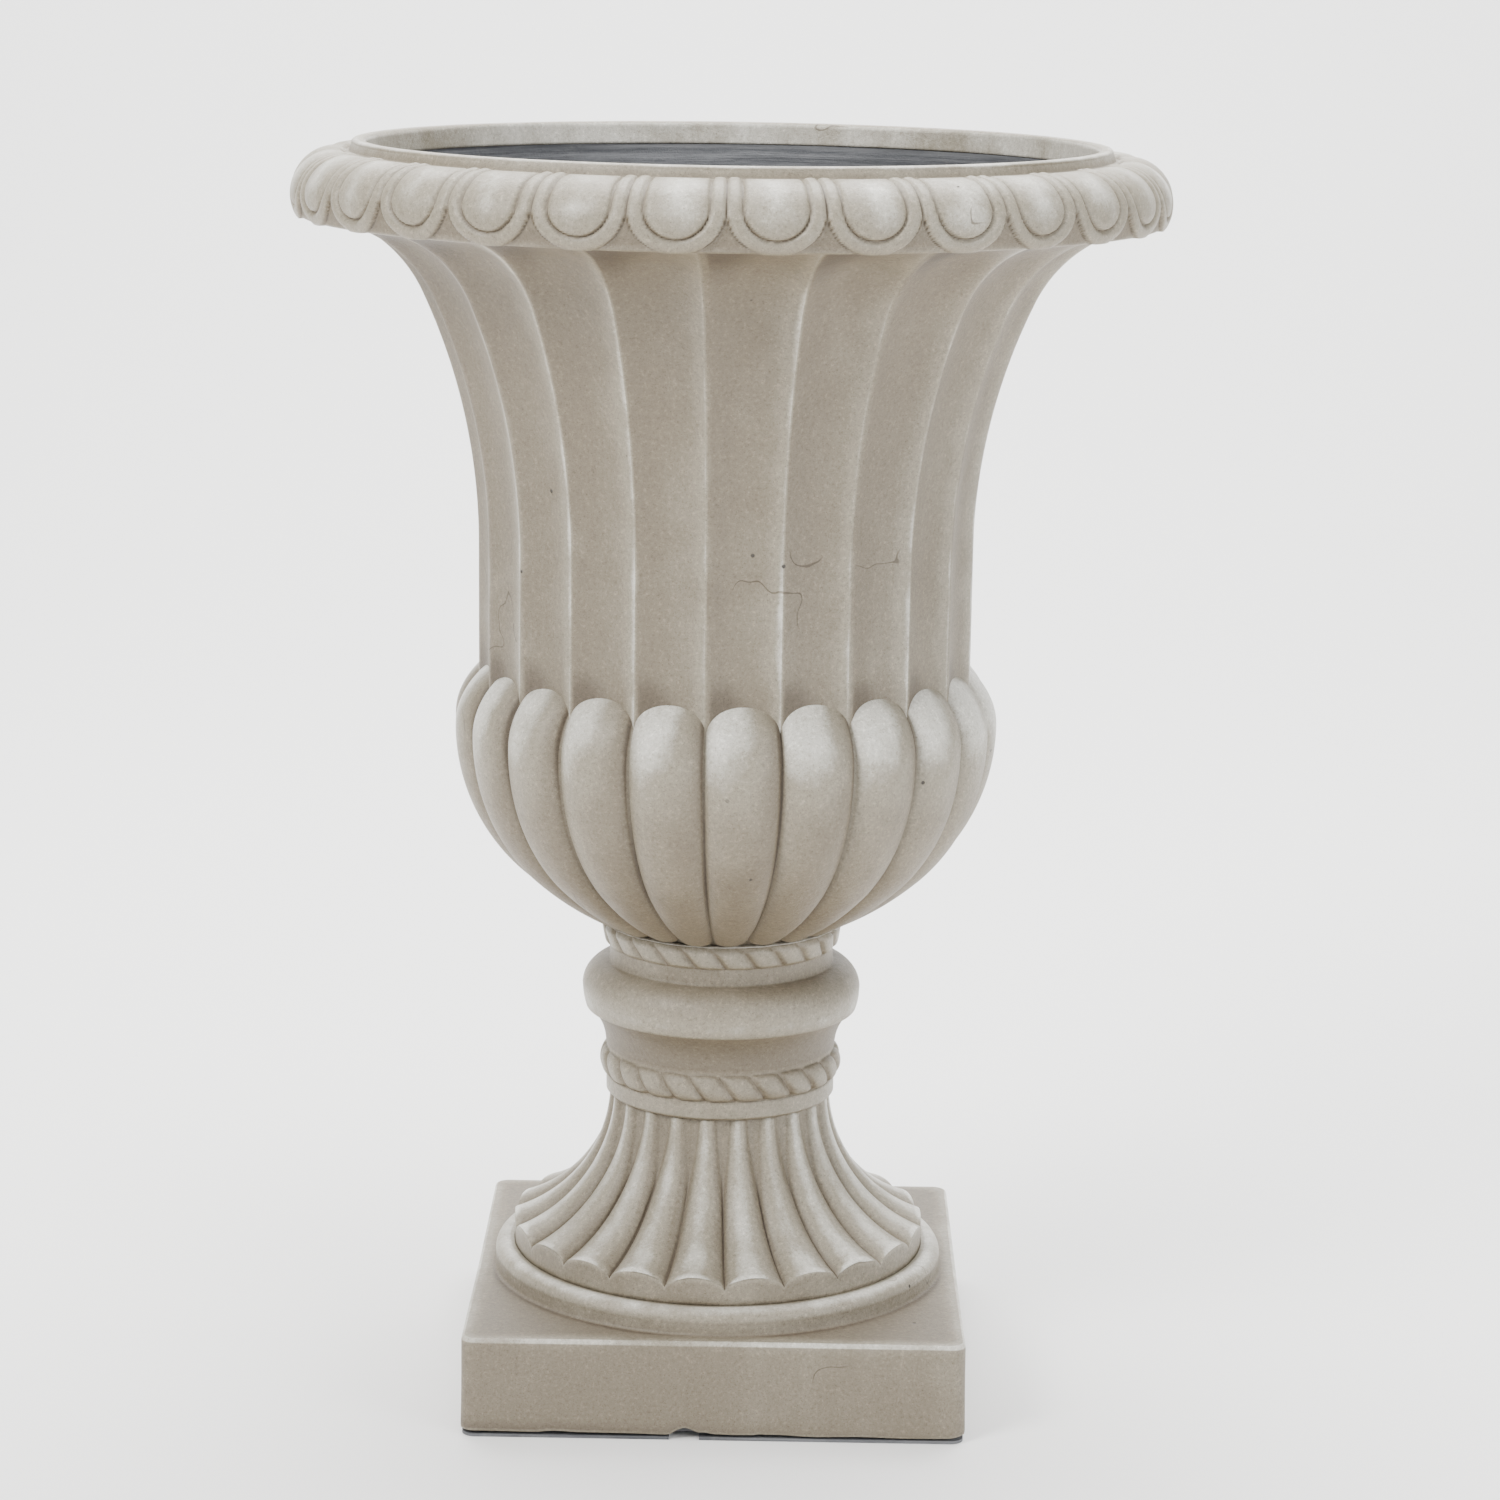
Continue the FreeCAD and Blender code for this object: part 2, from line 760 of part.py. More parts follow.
def make_tie_rod():
    """The rod that draws the stack together, its bar under the plinth, and its nuts and washers."""
    hole = size("rod_radius") + size("rod_clearance")
    bar_base = bar_top() - size("bar_thickness")
    lower_washer_base = bar_base - size("washer_thickness")
    lower_nut_base = lower_washer_base - size("nut_height")
    seal_top = cavity_floor + size("sealing_thickness")
    upper_nut_base = seal_top + size("washer_thickness")
    rod_top = upper_nut_base + size("nut_height") + size("rod_end")
    cylinder("tie_rod", size("rod_radius"), lower_nut_base - size("rod_end"), rod_top)
    bar = new_body("clamp_bar")
    plan = rectangle_sketch(bar, "clamp_bar_plan", size("bar_length"), size("bar_width"))
    extruded(bar, "clamp_bar_block", plan, bar_base, bar_top())
    drilled = [(ZERO, bar_base), (hole, bar_base), (hole, bar_top()), (ZERO, bar_top())]
    revolved(bar, "clamp_bar_hole", drilled, "PartDesign::Groove")
    tube("lower_washer", hole, size("washer_radius"), lower_washer_base, bar_base)
    hexagon_nut("lower_nut", lower_nut_base)
    tube("sealing_washer", hole, size("sealing_radius"), cavity_floor, seal_top)
    tube("upper_washer", hole, size("washer_radius"), seal_top, upper_nut_base)
    hexagon_nut("upper_nut", upper_nut_base)


def make_drain_plug():
    """A tapered rubber stopper with a pull knob; it lifts straight up out of the bowl."""
    tip = cavity_floor - size("plug_depth")
    shank = size("drain_radius") - size("plug_clearance")
    head_top = cavity_floor + size("plug_head_thickness")
    knob_top = head_top + size("plug_knob_height")
    knob = size("plug_knob_radius")
    plug = turned_piece(
        "drain_plug",
        [
            (ZERO, tip),
            (shank - size("plug_taper"), tip),
            (shank, cavity_floor),
            (size("plug_head_radius"), cavity_floor),
            (size("plug_head_radius"), head_top),
            (size("plug_neck_radius"), head_top),
            (size("plug_neck_radius"), knob_top - knob),
            (knob, knob_top - knob),
            (knob, knob_top - size("plug_edge")),
            (knob - size("plug_edge"), knob_top),
            (ZERO, knob_top),
        ],
    )
    plug.setExpression("Placement.Base.x", size("drain_offset").text)


# -------------------------------------------------------------------------- build and write
make_plinth()
make_foot()
make_stem()
make_bowl()
make_beds()
make_tie_rod()
make_drain_plug()
doc.recompute()

PIECES = [
    "bowl_face",
    "bowl_backing",
    "bowl_screed",
    "bowl_bed",
    "stem",
    "stem_bed",
    "foot",
    "foot_bed",
    "plinth_face",
    "plinth_backing",
    "tie_rod",
    "upper_nut",
    "upper_washer",
    "sealing_washer",
    "clamp_bar",
    "lower_washer",
    "lower_nut",
    "drain_plug",
]
for item in doc.Objects:
    if "Invalid" in item.State or "Error" in item.State:
        raise RuntimeError("%s could not be made: %s" % (item.Name, item.State))
pieces = {label: doc.getObjectsByLabel(label)[0] for label in PIECES}
for label, piece in pieces.items():
    shape = piece.Shape
    if shape.isNull() or not shape.isValid() or not shape.Solids:
        raise RuntimeError("%s has no sound solid" % label)
for label, piece in pieces.items():
    piece.Shape.exportStep("parts/%s.step" % label)
    box = piece.Shape.BoundBox
    print("%-16s %8.1f cm3  z %.1f to %.1f" % (label, piece.Shape.Volume / 1000, box.ZMin, box.ZMax))
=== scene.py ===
import math

import bmesh
import bpy
import numpy as np
from mathutils import Matrix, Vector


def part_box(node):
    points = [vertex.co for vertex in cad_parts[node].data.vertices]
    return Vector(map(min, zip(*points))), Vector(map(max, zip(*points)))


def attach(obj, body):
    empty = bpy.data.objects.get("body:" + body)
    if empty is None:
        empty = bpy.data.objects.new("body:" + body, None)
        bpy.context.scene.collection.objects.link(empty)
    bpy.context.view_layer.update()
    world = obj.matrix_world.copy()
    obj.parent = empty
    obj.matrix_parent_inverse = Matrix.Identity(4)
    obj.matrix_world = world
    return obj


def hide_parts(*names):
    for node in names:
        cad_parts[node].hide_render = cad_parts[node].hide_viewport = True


# A fluted garden urn in aged ivory cast stone, dressed over its imported frame.
# Outlines are (radius, height) pairs in millimetres, and meshes are made in metres.
# Bearings are angles seen from above, from the front (-Y) towards the right (+X).
# Relief is a paint value at each vertex, from 0 in a dark groove to 1 on a pale edge; besides the tan
# wash and wear it holds painted shade and painted highlights.

MM = 0.001
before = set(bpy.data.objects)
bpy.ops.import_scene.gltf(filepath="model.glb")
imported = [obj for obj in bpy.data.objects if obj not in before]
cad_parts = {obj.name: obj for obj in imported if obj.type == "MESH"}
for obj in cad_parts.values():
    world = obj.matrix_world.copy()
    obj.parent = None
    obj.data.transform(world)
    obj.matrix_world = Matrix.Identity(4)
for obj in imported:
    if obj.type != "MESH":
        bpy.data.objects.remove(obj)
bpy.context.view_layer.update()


# ------------------------------------------------------------------------------ heights, mm
def low_of(node):
    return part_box(node)[0].z / MM


def high_of(node):
    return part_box(node)[1].z / MM


PLINTH_TOP = 62.0  # the square's flat top, which no node's box gives
PLINTH_BASE = low_of("plinth_face")
PLINTH_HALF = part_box("plinth_face")[1].x / MM
RING_SEAT = low_of("foot_bed")
FOOT_BASE = low_of("foot")
FOOT_TOP = low_of("stem_bed")
STEM_BASE = low_of("stem")
STEM_TOP = high_of("stem")
BOWL_BASE = high_of("bowl_bed")
BOWL_TOP = high_of("bowl_face")
LIP_BASE = high_of("bowl_backing")
FLOOR_TOP = low_of("sealing_washer")

LOBES = 22
EGGS = 30
REEDS = 22
STRANDS = 24


# ------------------------------------------------------------------------------ mesh helpers
def line(start, end, step=2.0):
    """Points from start to end, without the end itself."""
    length = math.hypot(end[0] - start[0], end[1] - start[1])
    count = max(1, round(length / step))
    share = np.arange(count)[:, None] / count
    return np.array(start) * (1 - share) + np.array(end) * share


def arc(centre, radius, first, last, step=2.0):
    """Points round an arc, angles in degrees from the way outwards, without the last one."""
    count = max(2, round(abs(math.radians(last - first)) * radius / step))
    angle = np.radians(first + (last - first) * np.arange(count) / count)
    return np.stack([centre[0] + radius * np.cos(angle), centre[1] + radius * np.sin(angle)], 1)


def joined(*legs):
    return np.concatenate(legs)


def polyline(points, step=4.0):
    return joined(*[line(a, b, step) for a, b in zip(points, points[1:])])


def normals(points):
    """Unit steps to the right of the way, which is outwards on a way up."""
    ahead = np.roll(points, -1, 0) - np.roll(points, 1, 0)
    ahead[0] = points[1] - points[0]
    ahead[-1] = points[-1] - points[-2]
    ahead /= np.linalg.norm(ahead, axis=1)[:, None]
    return np.stack([ahead[:, 1], -ahead[:, 0]], 1)


def bearings(count):
    return np.arange(count) * 2 * math.pi / count


def bearing_row(count, start=0.0):
    """Even bearings as one row, so that they spread over the rows of an outline."""
    return bearings(count)[None, :] + start


def repeat_share(bearing, count, centre):
    """Place across one repeat, from -1 to 1 with 0 on its middle line."""
    turn = (bearing - centre) * count / (2 * math.pi)
    return 2 * (turn - np.round(turn))


def smooth(low, high, value):
    """An eased step from 0 at low to 1 at high; low may be the larger one."""
    share = np.clip((value - low) / (high - low), 0, 1)
    return share * share * (3 - 2 * share)


def ridge(distance, width):
    """1 at a distance of 0, fading softly over the width."""
    return np.exp(-((distance / width) ** 2))


def round_fall(share, steep):
    """Fall of a round back from 0 on its crest to 1 at its seam; steep near 1 sharpens the seam."""
    return (1 - np.sqrt(1 - (steep * share) ** 2)) / (1 - math.sqrt(1 - steep ** 2))


def wave_noise(bearing, height, size, seed, turns=3):
    """Soft seamless unevenness over bearing (radians) and height (mm), about -1 to 1."""
    draw = np.random.default_rng(seed)
    total = 0
    for _ in range(9):
        around = draw.integers(1, turns + 1)
        total = total + np.sin(
            around * bearing + height * draw.uniform(-1, 1) * 2 * math.pi / size
            + draw.uniform(0, 2 * math.pi)
        )
    return total / 4.5


def ring_mesh(radius, height, bearing, relief):
    """Vertices, faces and relief of a closed ring: rows round the outline, columns round the axis."""
    rows, columns = radius.shape
    x = radius * np.sin(bearing)
    y = -radius * np.cos(bearing)
    z = np.broadcast_to(height, radius.shape)
    verts = np.stack([x, y, z], 2).reshape(-1, 3) * MM
    row, column = np.meshgrid(np.arange(rows), np.arange(columns), indexing="ij")
    up = (row + 1) % rows
    on = (column + 1) % columns
    faces = np.stack([row * columns + column, row * columns + on, up * columns + on,
                      up * columns + column], 2).reshape(-1, 4)
    return verts, faces, np.broadcast_to(relief, radius.shape).reshape(-1)


def backed_ring(skin, back, bearing, back_relief, downwards=False):
    """A closed ring from a skin's (radius, height, relief) grids and the points of its plain back.

    The skin runs up the outline, unless downwards says that it runs down it.
    """
    shape = (len(back), bearing.size)
    plain = back[:, :1], back[:, 1:], np.full((len(back), 1), back_relief)
    grids = [np.concatenate([front, np.broadcast_to(rear, shape)]) for front, rear in zip(skin, plain)]
    if downwards:
        grids = [grid[::-1] for grid in grids]
    radius, height, relief = grids
    return ring_mesh(radius, height, bearing, relief)


def merged(parts):
    """Several (vertices, faces, relief) groups as one."""
    verts, faces, relief, start = [], [], [], 0
    for group in parts:
        verts.append(group[0])
        faces.append(group[1] + start)
        relief.append(group[2])
        start += len(group[0])
    return np.concatenate(verts), np.concatenate(faces), np.concatenate(relief)


def piece(name, mesh_data, material, body, replaced=()):
    """One visual object with its relief, riding on a body of the frame."""
    verts, faces, relief = mesh_data
    mesh = bpy.data.meshes.new(name)
    mesh.vertices.add(len(verts))
    mesh.vertices.foreach_set("co", verts.astype(np.float32).ravel())
    size = faces.shape[1]
    mesh.loops.add(faces.size)
    mesh.loops.foreach_set("vertex_index", faces.astype(np.int32).ravel())
    mesh.polygons.add(len(faces))
    mesh.polygons.foreach_set("loop_start", np.arange(len(faces), dtype=np.int32) * size)
    mesh.polygons.foreach_set("use_smooth", np.ones(len(faces), dtype=bool))
    mesh.update(calc_edges=True)
    mesh.validate()
    layer = mesh.attributes.new("relief", "FLOAT", "POINT")
    layer.data.foreach_set("value", relief.astype(np.float32))
    thing = bpy.data.objects.new(name, mesh)
    bpy.context.scene.collection.objects.link(thing)
    thing.data.materials.append(material)
    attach(thing, body)
    if replaced:
        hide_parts(*replaced)
    return thing


# --------------------------------------------------------------------------------- materials
class Nodes:
    """Short calls for the node tree of one material."""

    def __init__(self, name):
        self.material = bpy.data.materials.new(name)
        self.material.use_nodes = True
        self.tree = self.material.node_tree
        self.shader = self.tree.nodes["Principled BSDF"]
        self.place = self.tree.nodes.new("ShaderNodeTexCoord").outputs["Object"]

    def link(self, source, socket):
        self.tree.links.new(source, socket)

    def set(self, socket, value):
        if isinstance(value, bpy.types.NodeSocket):
            self.link(value, socket)
        else:
            socket.default_value = value

    def stretched(self, x, y, z):
        node = self.tree.nodes.new("ShaderNodeMapping")
        self.link(self.place, node.inputs["Vector"])
        node.inputs["Scale"].default_value = (x, y, z)
        return node.outputs["Vector"]

    def noise(self, scale, detail=4.0, rough=0.55, vector=None):
        node = self.tree.nodes.new("ShaderNodeTexNoise")
        self.link(vector or self.place, node.inputs["Vector"])
        node.inputs["Scale"].default_value = scale
        node.inputs["Detail"].default_value = detail
        node.inputs["Roughness"].default_value = rough
        return node.outputs["Fac"]

    def cells(self, scale):
        node = self.tree.nodes.new("ShaderNodeTexVoronoi")
        self.link(self.place, node.inputs["Vector"])
        node.inputs["Scale"].default_value = scale
        return node.outputs["Distance"], node.outputs["Color"]

    def ramp(self, value, low, high, out_low=0.0, out_high=1.0):
        node = self.tree.nodes.new("ShaderNodeMapRange")
        node.interpolation_type = "SMOOTHSTEP"
        self.set(node.inputs["Value"], value)
        node.inputs["From Min"].default_value = low
        node.inputs["From Max"].default_value = high
        node.inputs["To Min"].default_value = out_low
        node.inputs["To Max"].default_value = out_high
        return node.outputs["Result"]

    def maths(self, kind, first, second=0.0):
        node = self.tree.nodes.new("ShaderNodeMath")
        node.operation = kind
        self.set(node.inputs[0], first)
        self.set(node.inputs[1], second)
        return node.outputs[0]

    def swing(self, noise, share):
        """A noise's step away from its middle value, times a share."""
        return self.maths("MULTIPLY", self.maths("SUBTRACT", noise, 0.5), share)

    def mix(self, share, first, second, blend="MIX"):
        node = self.tree.nodes.new("ShaderNodeMix")
        node.data_type = "RGBA"
        node.blend_type = blend
        self.set(node.inputs["Factor"], share)
        self.set(node.inputs[6], first if not isinstance(first, tuple) else (*first, 1.0))
        self.set(node.inputs[7], second if not isinstance(second, tuple) else (*second, 1.0))
        return node.outputs[2]

    def facing_down(self):
        """How much a face looks down, from 0 for nearly upright to 1 for level undersides."""
        spot = self.tree.nodes.new("ShaderNodeNewGeometry")
        split = self.tree.nodes.new("ShaderNodeSeparateXYZ")
        self.link(spot.outputs["True Normal"], split.inputs[0])
        return self.ramp(split.outputs["Z"], 0.15, -0.85)

    def relief(self):
        node = self.tree.nodes.new("ShaderNodeAttribute")
        node.attribute_name = "relief"
        return node.outputs["Fac"]

    def bump(self, height, distance, strength=1.0, under=None):
        node = self.tree.nodes.new("ShaderNodeBump")
        node.inputs["Strength"].default_value = strength
        node.inputs["Distance"].default_value = distance
        self.link(height, node.inputs["Height"])
        if under is not None:
            self.link(under, node.inputs["Normal"])
        return node.outputs["Normal"]

    def finish(self, color, roughness, normal=None, metallic=0.0, specular=0.5):
        self.set(self.shader.inputs["Base Color"], color)
        self.set(self.shader.inputs["Roughness"], roughness)
        self.shader.inputs["Metallic"].default_value = metallic
        self.shader.inputs["Specular IOR Level"].default_value = specular
        if normal is not None:
            self.link(normal, self.shader.inputs["Normal"])
        return self.material


IVORY = (0.248, 0.222, 0.169)
PALE = (0.565, 0.552, 0.500)
TAN = (0.166, 0.139, 0.098)
# The darkest colour, for the lowest relief in the grooves; round the rim's tongues and strips it is
# painted shade.
GROOVE_DARK = (0.085, 0.065, 0.042)
HOLE = (0.045, 0.038, 0.030)
# The shares that a colour is multiplied by:
# Painted shade on faces that look down:
UNDERSIDE_SHADE = (0.74, 0.66, 0.54)
LIGHT_SAND = (1.52, 1.52, 1.54)
DARK_SAND = (0.70, 0.67, 0.62)
DARK_GRAIN = (0.60, 0.57, 0.52)
HAIRLINE = (0.45, 0.41, 0.36)


def wash_and_painted_light(n, level, relief):
    """Tan in the hollows, ivory on the faces, pale on proud edges and the darkest colour in the grooves,
    all following the relief, which holds painted shade and highlights as well as the wash; faces that
    look down get painted shade.
    """
    color = n.mix(n.ramp(level, 0.12, 0.62), TAN, IVORY)
    color = n.mix(n.ramp(level, 0.62, 1.0), color, PALE)
    color = n.mix(n.ramp(relief, 0.16, 0.0), color, GROOVE_DARK)
    # Faces that look down are darkened: painted shade.
    return n.mix(n.maths("MULTIPLY", n.facing_down(), 0.8), color, UNDERSIDE_SHADE, "MULTIPLY")


def speckled(n, color, fine, grain):
    """Light and dark sand in the skin of the stone."""
    color = n.mix(n.ramp(fine, 0.50, 0.72), color, LIGHT_SAND, "MULTIPLY")
    color = n.mix(n.ramp(fine, 0.48, 0.30), color, DARK_SAND, "MULTIPLY")
    return n.mix(n.ramp(grain, 0.54, 0.74), color, DARK_GRAIN, "MULTIPLY")


def air_holes(n):
    """A mask of small round holes, in a few of the cells."""
    distance, shade = n.cells(55)
    return n.maths("MULTIPLY", n.ramp(distance, 0.075, 0.045), n.ramp(shade, 0.76, 0.79))


def hairlines(n):
    """A mask of fine cracks: they follow the middle value of one noise, where another allows."""
    course = n.maths("ABSOLUTE", n.maths("SUBTRACT", n.noise(11, 3, 0.5), 0.5))
    cracked = n.ramp(n.noise(6.5, 2, 0.5), 0.60, 0.63)
    return n.maths("MULTIPLY", n.ramp(course, 0.0034, 0.0012), cracked)


def ivory_stone():
    """Painted cast stone: a tan wash left in the hollows, rubbed pale on whatever stands proud, with
    painted shade and painted highlights in the same relief and painted shade on undersides.
    """
    n = Nodes("ivory_stone")
    broad = n.noise(7, 5, 0.6)
    middle = n.noise(38, 6, 0.62)
    streaks = n.noise(60, 3, 0.5, n.stretched(1, 1, 0.07))
    fine = n.noise(430, 6, 0.75)
    grain = n.noise(1300, 2, 0.6)
    relief = n.relief()
    uneven = n.maths("ADD", n.swing(middle, 0.42), n.swing(broad, 0.5))
    uneven = n.maths("ADD", uneven, n.swing(streaks, 0.28))
    level = n.maths("ADD", relief, uneven)
    holes = air_holes(n)
    color = speckled(n, wash_and_painted_light(n, level, relief), fine, grain)
    color = n.mix(holes, color, HOLE)
    color = n.mix(hairlines(n), color, HAIRLINE, "MULTIPLY")
    normal = n.bump(grain, 0.0003, 0.6)
    normal = n.bump(fine, 0.0005, 0.55, normal)
    normal = n.bump(middle, 0.0022, 0.45, normal)
    normal = n.bump(n.maths("SUBTRACT", 1.0, holes), 0.0008, 1.0, normal)
    rough = n.ramp(level, 0.1, 0.9, 0.54, 0.33)
    return n.finish(color, rough, normal, specular=0.55)


def raw_backing():
    """Dark grey laminate brushed on by hand, streaked round the wall."""
    n = Nodes("raw_backing")
    streaks = n.noise(9, 6, 0.65, n.stretched(1, 1, 22))
    middle = n.noise(45, 6, 0.7)
    grain = n.noise(900, 3, 0.6)
    color = n.mix(n.ramp(streaks, 0.3, 0.7), (0.070, 0.073, 0.080), (0.185, 0.190, 0.200))
    color = n.mix(n.ramp(middle, 0.55, 0.8, 0, 0.5), color, (0.29, 0.285, 0.275))
    color = n.mix(n.ramp(grain, 0.6, 0.8, 0, 0.5), color, (0.06, 0.06, 0.06))
    normal = n.bump(grain, 0.0004, 0.6)
    normal = n.bump(middle, 0.003, 0.7, normal)
    normal = n.bump(streaks, 0.004, 0.5, normal)
    return n.finish(color, n.ramp(middle, 0.3, 0.7, 0.55, 0.85), normal, specular=0.3)


def mortar(name, dark, light):
    """Sandy mortar between two colours."""
    n = Nodes(name)
    middle = n.noise(220, 5, 0.7)
    color = n.mix(n.ramp(middle, 0.3, 0.7), dark, light)
    return n.finish(color, 0.9, n.bump(middle, 0.0012, 0.8), specular=0.2)


def steel():
    """Zinc plate with the cloudy crystals and handling marks of stock fixings."""
    n = Nodes("steel")
    cloud = n.noise(160, 4, 0.6)
    marks = n.noise(420, 3, 0.6, n.stretched(1, 1, 0.15))
    color = n.mix(n.ramp(cloud, 0.35, 0.7), (0.42, 0.42, 0.43), (0.62, 0.62, 0.61))
    rough = n.ramp(marks, 0.3, 0.7, 0.28, 0.5)
    return n.finish(color, rough, n.bump(marks, 0.0002, 0.5), metallic=1.0)


def rubber():
    """Black rubber with a dusty bloom."""
    n = Nodes("rubber")
    bloom = n.noise(130, 4, 0.6)
    color = n.mix(n.ramp(bloom, 0.4, 0.8, 0, 0.7), (0.022, 0.022, 0.023), (0.075, 0.073, 0.07))
    return n.finish(color, n.ramp(bloom, 0.3, 0.7, 0.55, 0.8), n.bump(bloom, 0.0004, 0.5))


# -------------------------------------------------------------------------------------- bowl
# The bowl's profile is arcs about these centres: under the lobes, round the belly and over
# their heads, then the bell's long hollow and its flare under the rim.
LOBE_BEARING = math.radians(4.7)
UNDER = (-13.2, BOWL_BASE + 189.2)
UNDER_CURVE = 208.0
UNDER_START = -65.4
BELLY = (43.7, BOWL_BASE + 126.0)
BELLY_CURVE = 123.0
BELLY_START = -48
SHOULDER = (116.7, BOWL_BASE + 126.0)
SHOULDER_CURVE = 50.0
LOBE_HEIGHT = 165.0
LOBE_DEPTH = 0.052  # crest to seam, as a share of the radius
LOBE_STEEP = 0.98
LOBE_WALL = 12.5
HEAD_REACH = 143.5  # the least radius of the lobes' heads, so that their backs stay in the wall
WAIST = 151.0
BELL_LOWER = (509.0, BOWL_BASE + 235.0)
BELL_UPPER = (259.1, BOWL_BASE + 352.2)
BELL_UPPER_CURVE = 82.0
BELL_BEND = 25.1
ARRIS_ROUND = 1.3
FLUTE_WALL = 8.6


def lobe_crest():
    """The line up the middle of one lobe, from the bowl's base over its head."""
    return joined(
        arc(UNDER, UNDER_CURVE, UNDER_START, BELLY_START, 1.8),
        arc(BELLY, BELLY_CURVE, BELLY_START, 0, 1.8),
        arc(SHOULDER, SHOULDER_CURVE, 0, 40, 1.2),
        arc(SHOULDER, SHOULDER_CURVE, 40, 66, 0.9),
    )


def lobe_depth(radius, high, share, crack):
    """How far the lobes' skin lies inside their crest line; their heads are squarer."""
    head = smooth(BELLY[1] + 4, BELLY[1] + 40, high)
    fall = round_fall(share, LOBE_STEEP)
    fall = fall * (1 - 0.6 * head) + 0.6 * head * (0.3 * share ** 2 + 0.7 * share ** 7)
    return LOBE_DEPTH * radius * fall * (1 - 0.25 * head) + 0.7 * crack + 2.4 * head


def lobe_paint(bearing, high, side, crack):
    """Pale high on each lobe, partly wear and partly a painted highlight set to its left, with painted
    shade on its right side, dark lines in the upper seams and a wash in the lower ones.
    """
    height = (high - BOWL_BASE) / LOBE_HEIGHT
    uneven = wave_noise(bearing, high, 90, 5, 11)
    # The pale head is set left of each lobe's middle, and the left side is paler than the right: painted
    # highlight and painted shade.
    relief = 0.20 + 0.60 * (1 - (side + 0.3) ** 2 / 1.2) * smooth(0.50, 0.95, height)
    relief = relief + (0.14 - 0.16 * side) * smooth(0.0, 0.5, height) - 0.10 * np.abs(side) ** 6
    pale_seam = smooth(0.30, 0.02, height) * (0.30 + 0.35 * uneven)
    return relief - (0.24 + 0.20 * uneven) * crack + pale_seam * crack


def lobe_back(crest, outward):
    """The plain inner face of the lobes' wall, kept clear of the lining."""
    back = (crest - outward * LOBE_WALL)[::-6]
    above = back[:, 1] > BELLY[1]
    radius = np.where(above, np.maximum(back[:, 0], HEAD_REACH - 2.0), back[:, 0])
    return np.stack([radius, np.maximum(back[:, 1], BOWL_BASE)], 1)


def gadroons():
    """A closed ring of convex lobes; their rounded heads stand out over the flutes."""
    bearing = bearing_row(LOBES * 36, LOBE_BEARING)
    crest = lobe_crest()
    outward = normals(crest)
    radius, high = crest[:, :1], crest[:, 1:]
    side = repeat_share(bearing, LOBES, LOBE_BEARING)
    share = np.abs(side)
    half_width = radius * math.tan(math.pi / LOBES)
    crack = ridge((1 - share) * half_width, 0.75)
    depth = lobe_depth(radius, high, share, crack) + 0.45 * wave_noise(bearing, high, 160, 3, 9)
    outer_r = radius - depth * outward[:, :1]
    outer_r = np.where(high > BELLY[1] + 20, np.maximum(outer_r, HEAD_REACH), outer_r)
    outer_z = np.maximum(high - depth * outward[:, 1:], BOWL_BASE - 0.7)
    skin = outer_r, outer_z, lobe_paint(bearing, high, side, crack)
    return backed_ring(skin, lobe_back(crest, outward), bearing, 0.4)


def flute_depth(high, share):
    """How far the flutes lie inside the arrises' line; they run out under the rim."""
    full = 5.4 + 2.6 * smooth(BELL_LOWER[1], BOWL_BASE + 400, high)
    full = full * (1 - 0.85 * smooth(BOWL_BASE + 415, BOWL_BASE + 434, high))
    hollow = full * (1 - share ** 2.1)
    return np.sqrt(hollow ** 2 + ARRIS_ROUND ** 2) - ARRIS_ROUND


def flute_paint(bearing, high, side, off):
    """Painted shade across each flute, darker on its left, with a pale broken arris, partly wear and
    partly a painted highlight, and a painted highlight beside each arris, strongest on its left; darker
    low down by the lobes' heads, and painted shade at the top under the rim.
    """
    broken = wave_noise(bearing, high, 34, 15, 13)
    core = ridge(off, 1.9 + 0.7 * broken)
    # A painted highlight beside each arris, strongest on its left.
    arris_highlight = ridge(off, 8.0 + 2.5 * broken) * np.where(side > 0, 1.0, 0.3)
    relief = 0.22 + 0.16 * side + (0.16 + 0.14 * broken) * core + 0.27 * arris_highlight
    relief = relief - 0.12 * smooth(BOWL_BASE + 186, BOWL_BASE + 164, high) * (1 - core)
    # Painted shade at the flutes' tops, under the rim.
    return relief - 0.14 * smooth(BOWL_BASE + 404, BOWL_BASE + 434, high)


def bell():
    """A closed ring of concave flutes between sharp arrises, flaring out under the rim."""
    bearing = bearing_row(LOBES * 32, LOBE_BEARING)
    arris = joined(
        line((WAIST, BOWL_BASE + 112), (WAIST, BELL_LOWER[1]), 2.5),
        arc(BELL_LOWER, BELL_LOWER[0] - WAIST, 180, 180 - BELL_BEND, 2.5),
        arc(BELL_UPPER, BELL_UPPER_CURVE, 180 - BELL_BEND, 91, 2.2),
    )
    outward = normals(arris)
    radius, high = arris[:, :1], arris[:, 1:]
    side = repeat_share(bearing, LOBES, LOBE_BEARING)
    share = np.abs(side)
    depth = flute_depth(high, share) + 0.35 * wave_noise(bearing, high, 260, 5, 7)
    off = (1 - share) * (radius * math.tan(math.pi / LOBES))
    skin = (radius - depth * outward[:, :1], high - depth * outward[:, 1:],
            flute_paint(bearing, high, side, off))
    return backed_ring(skin, (arris - outward * FLUTE_WALL)[::-5], bearing, 0.4)


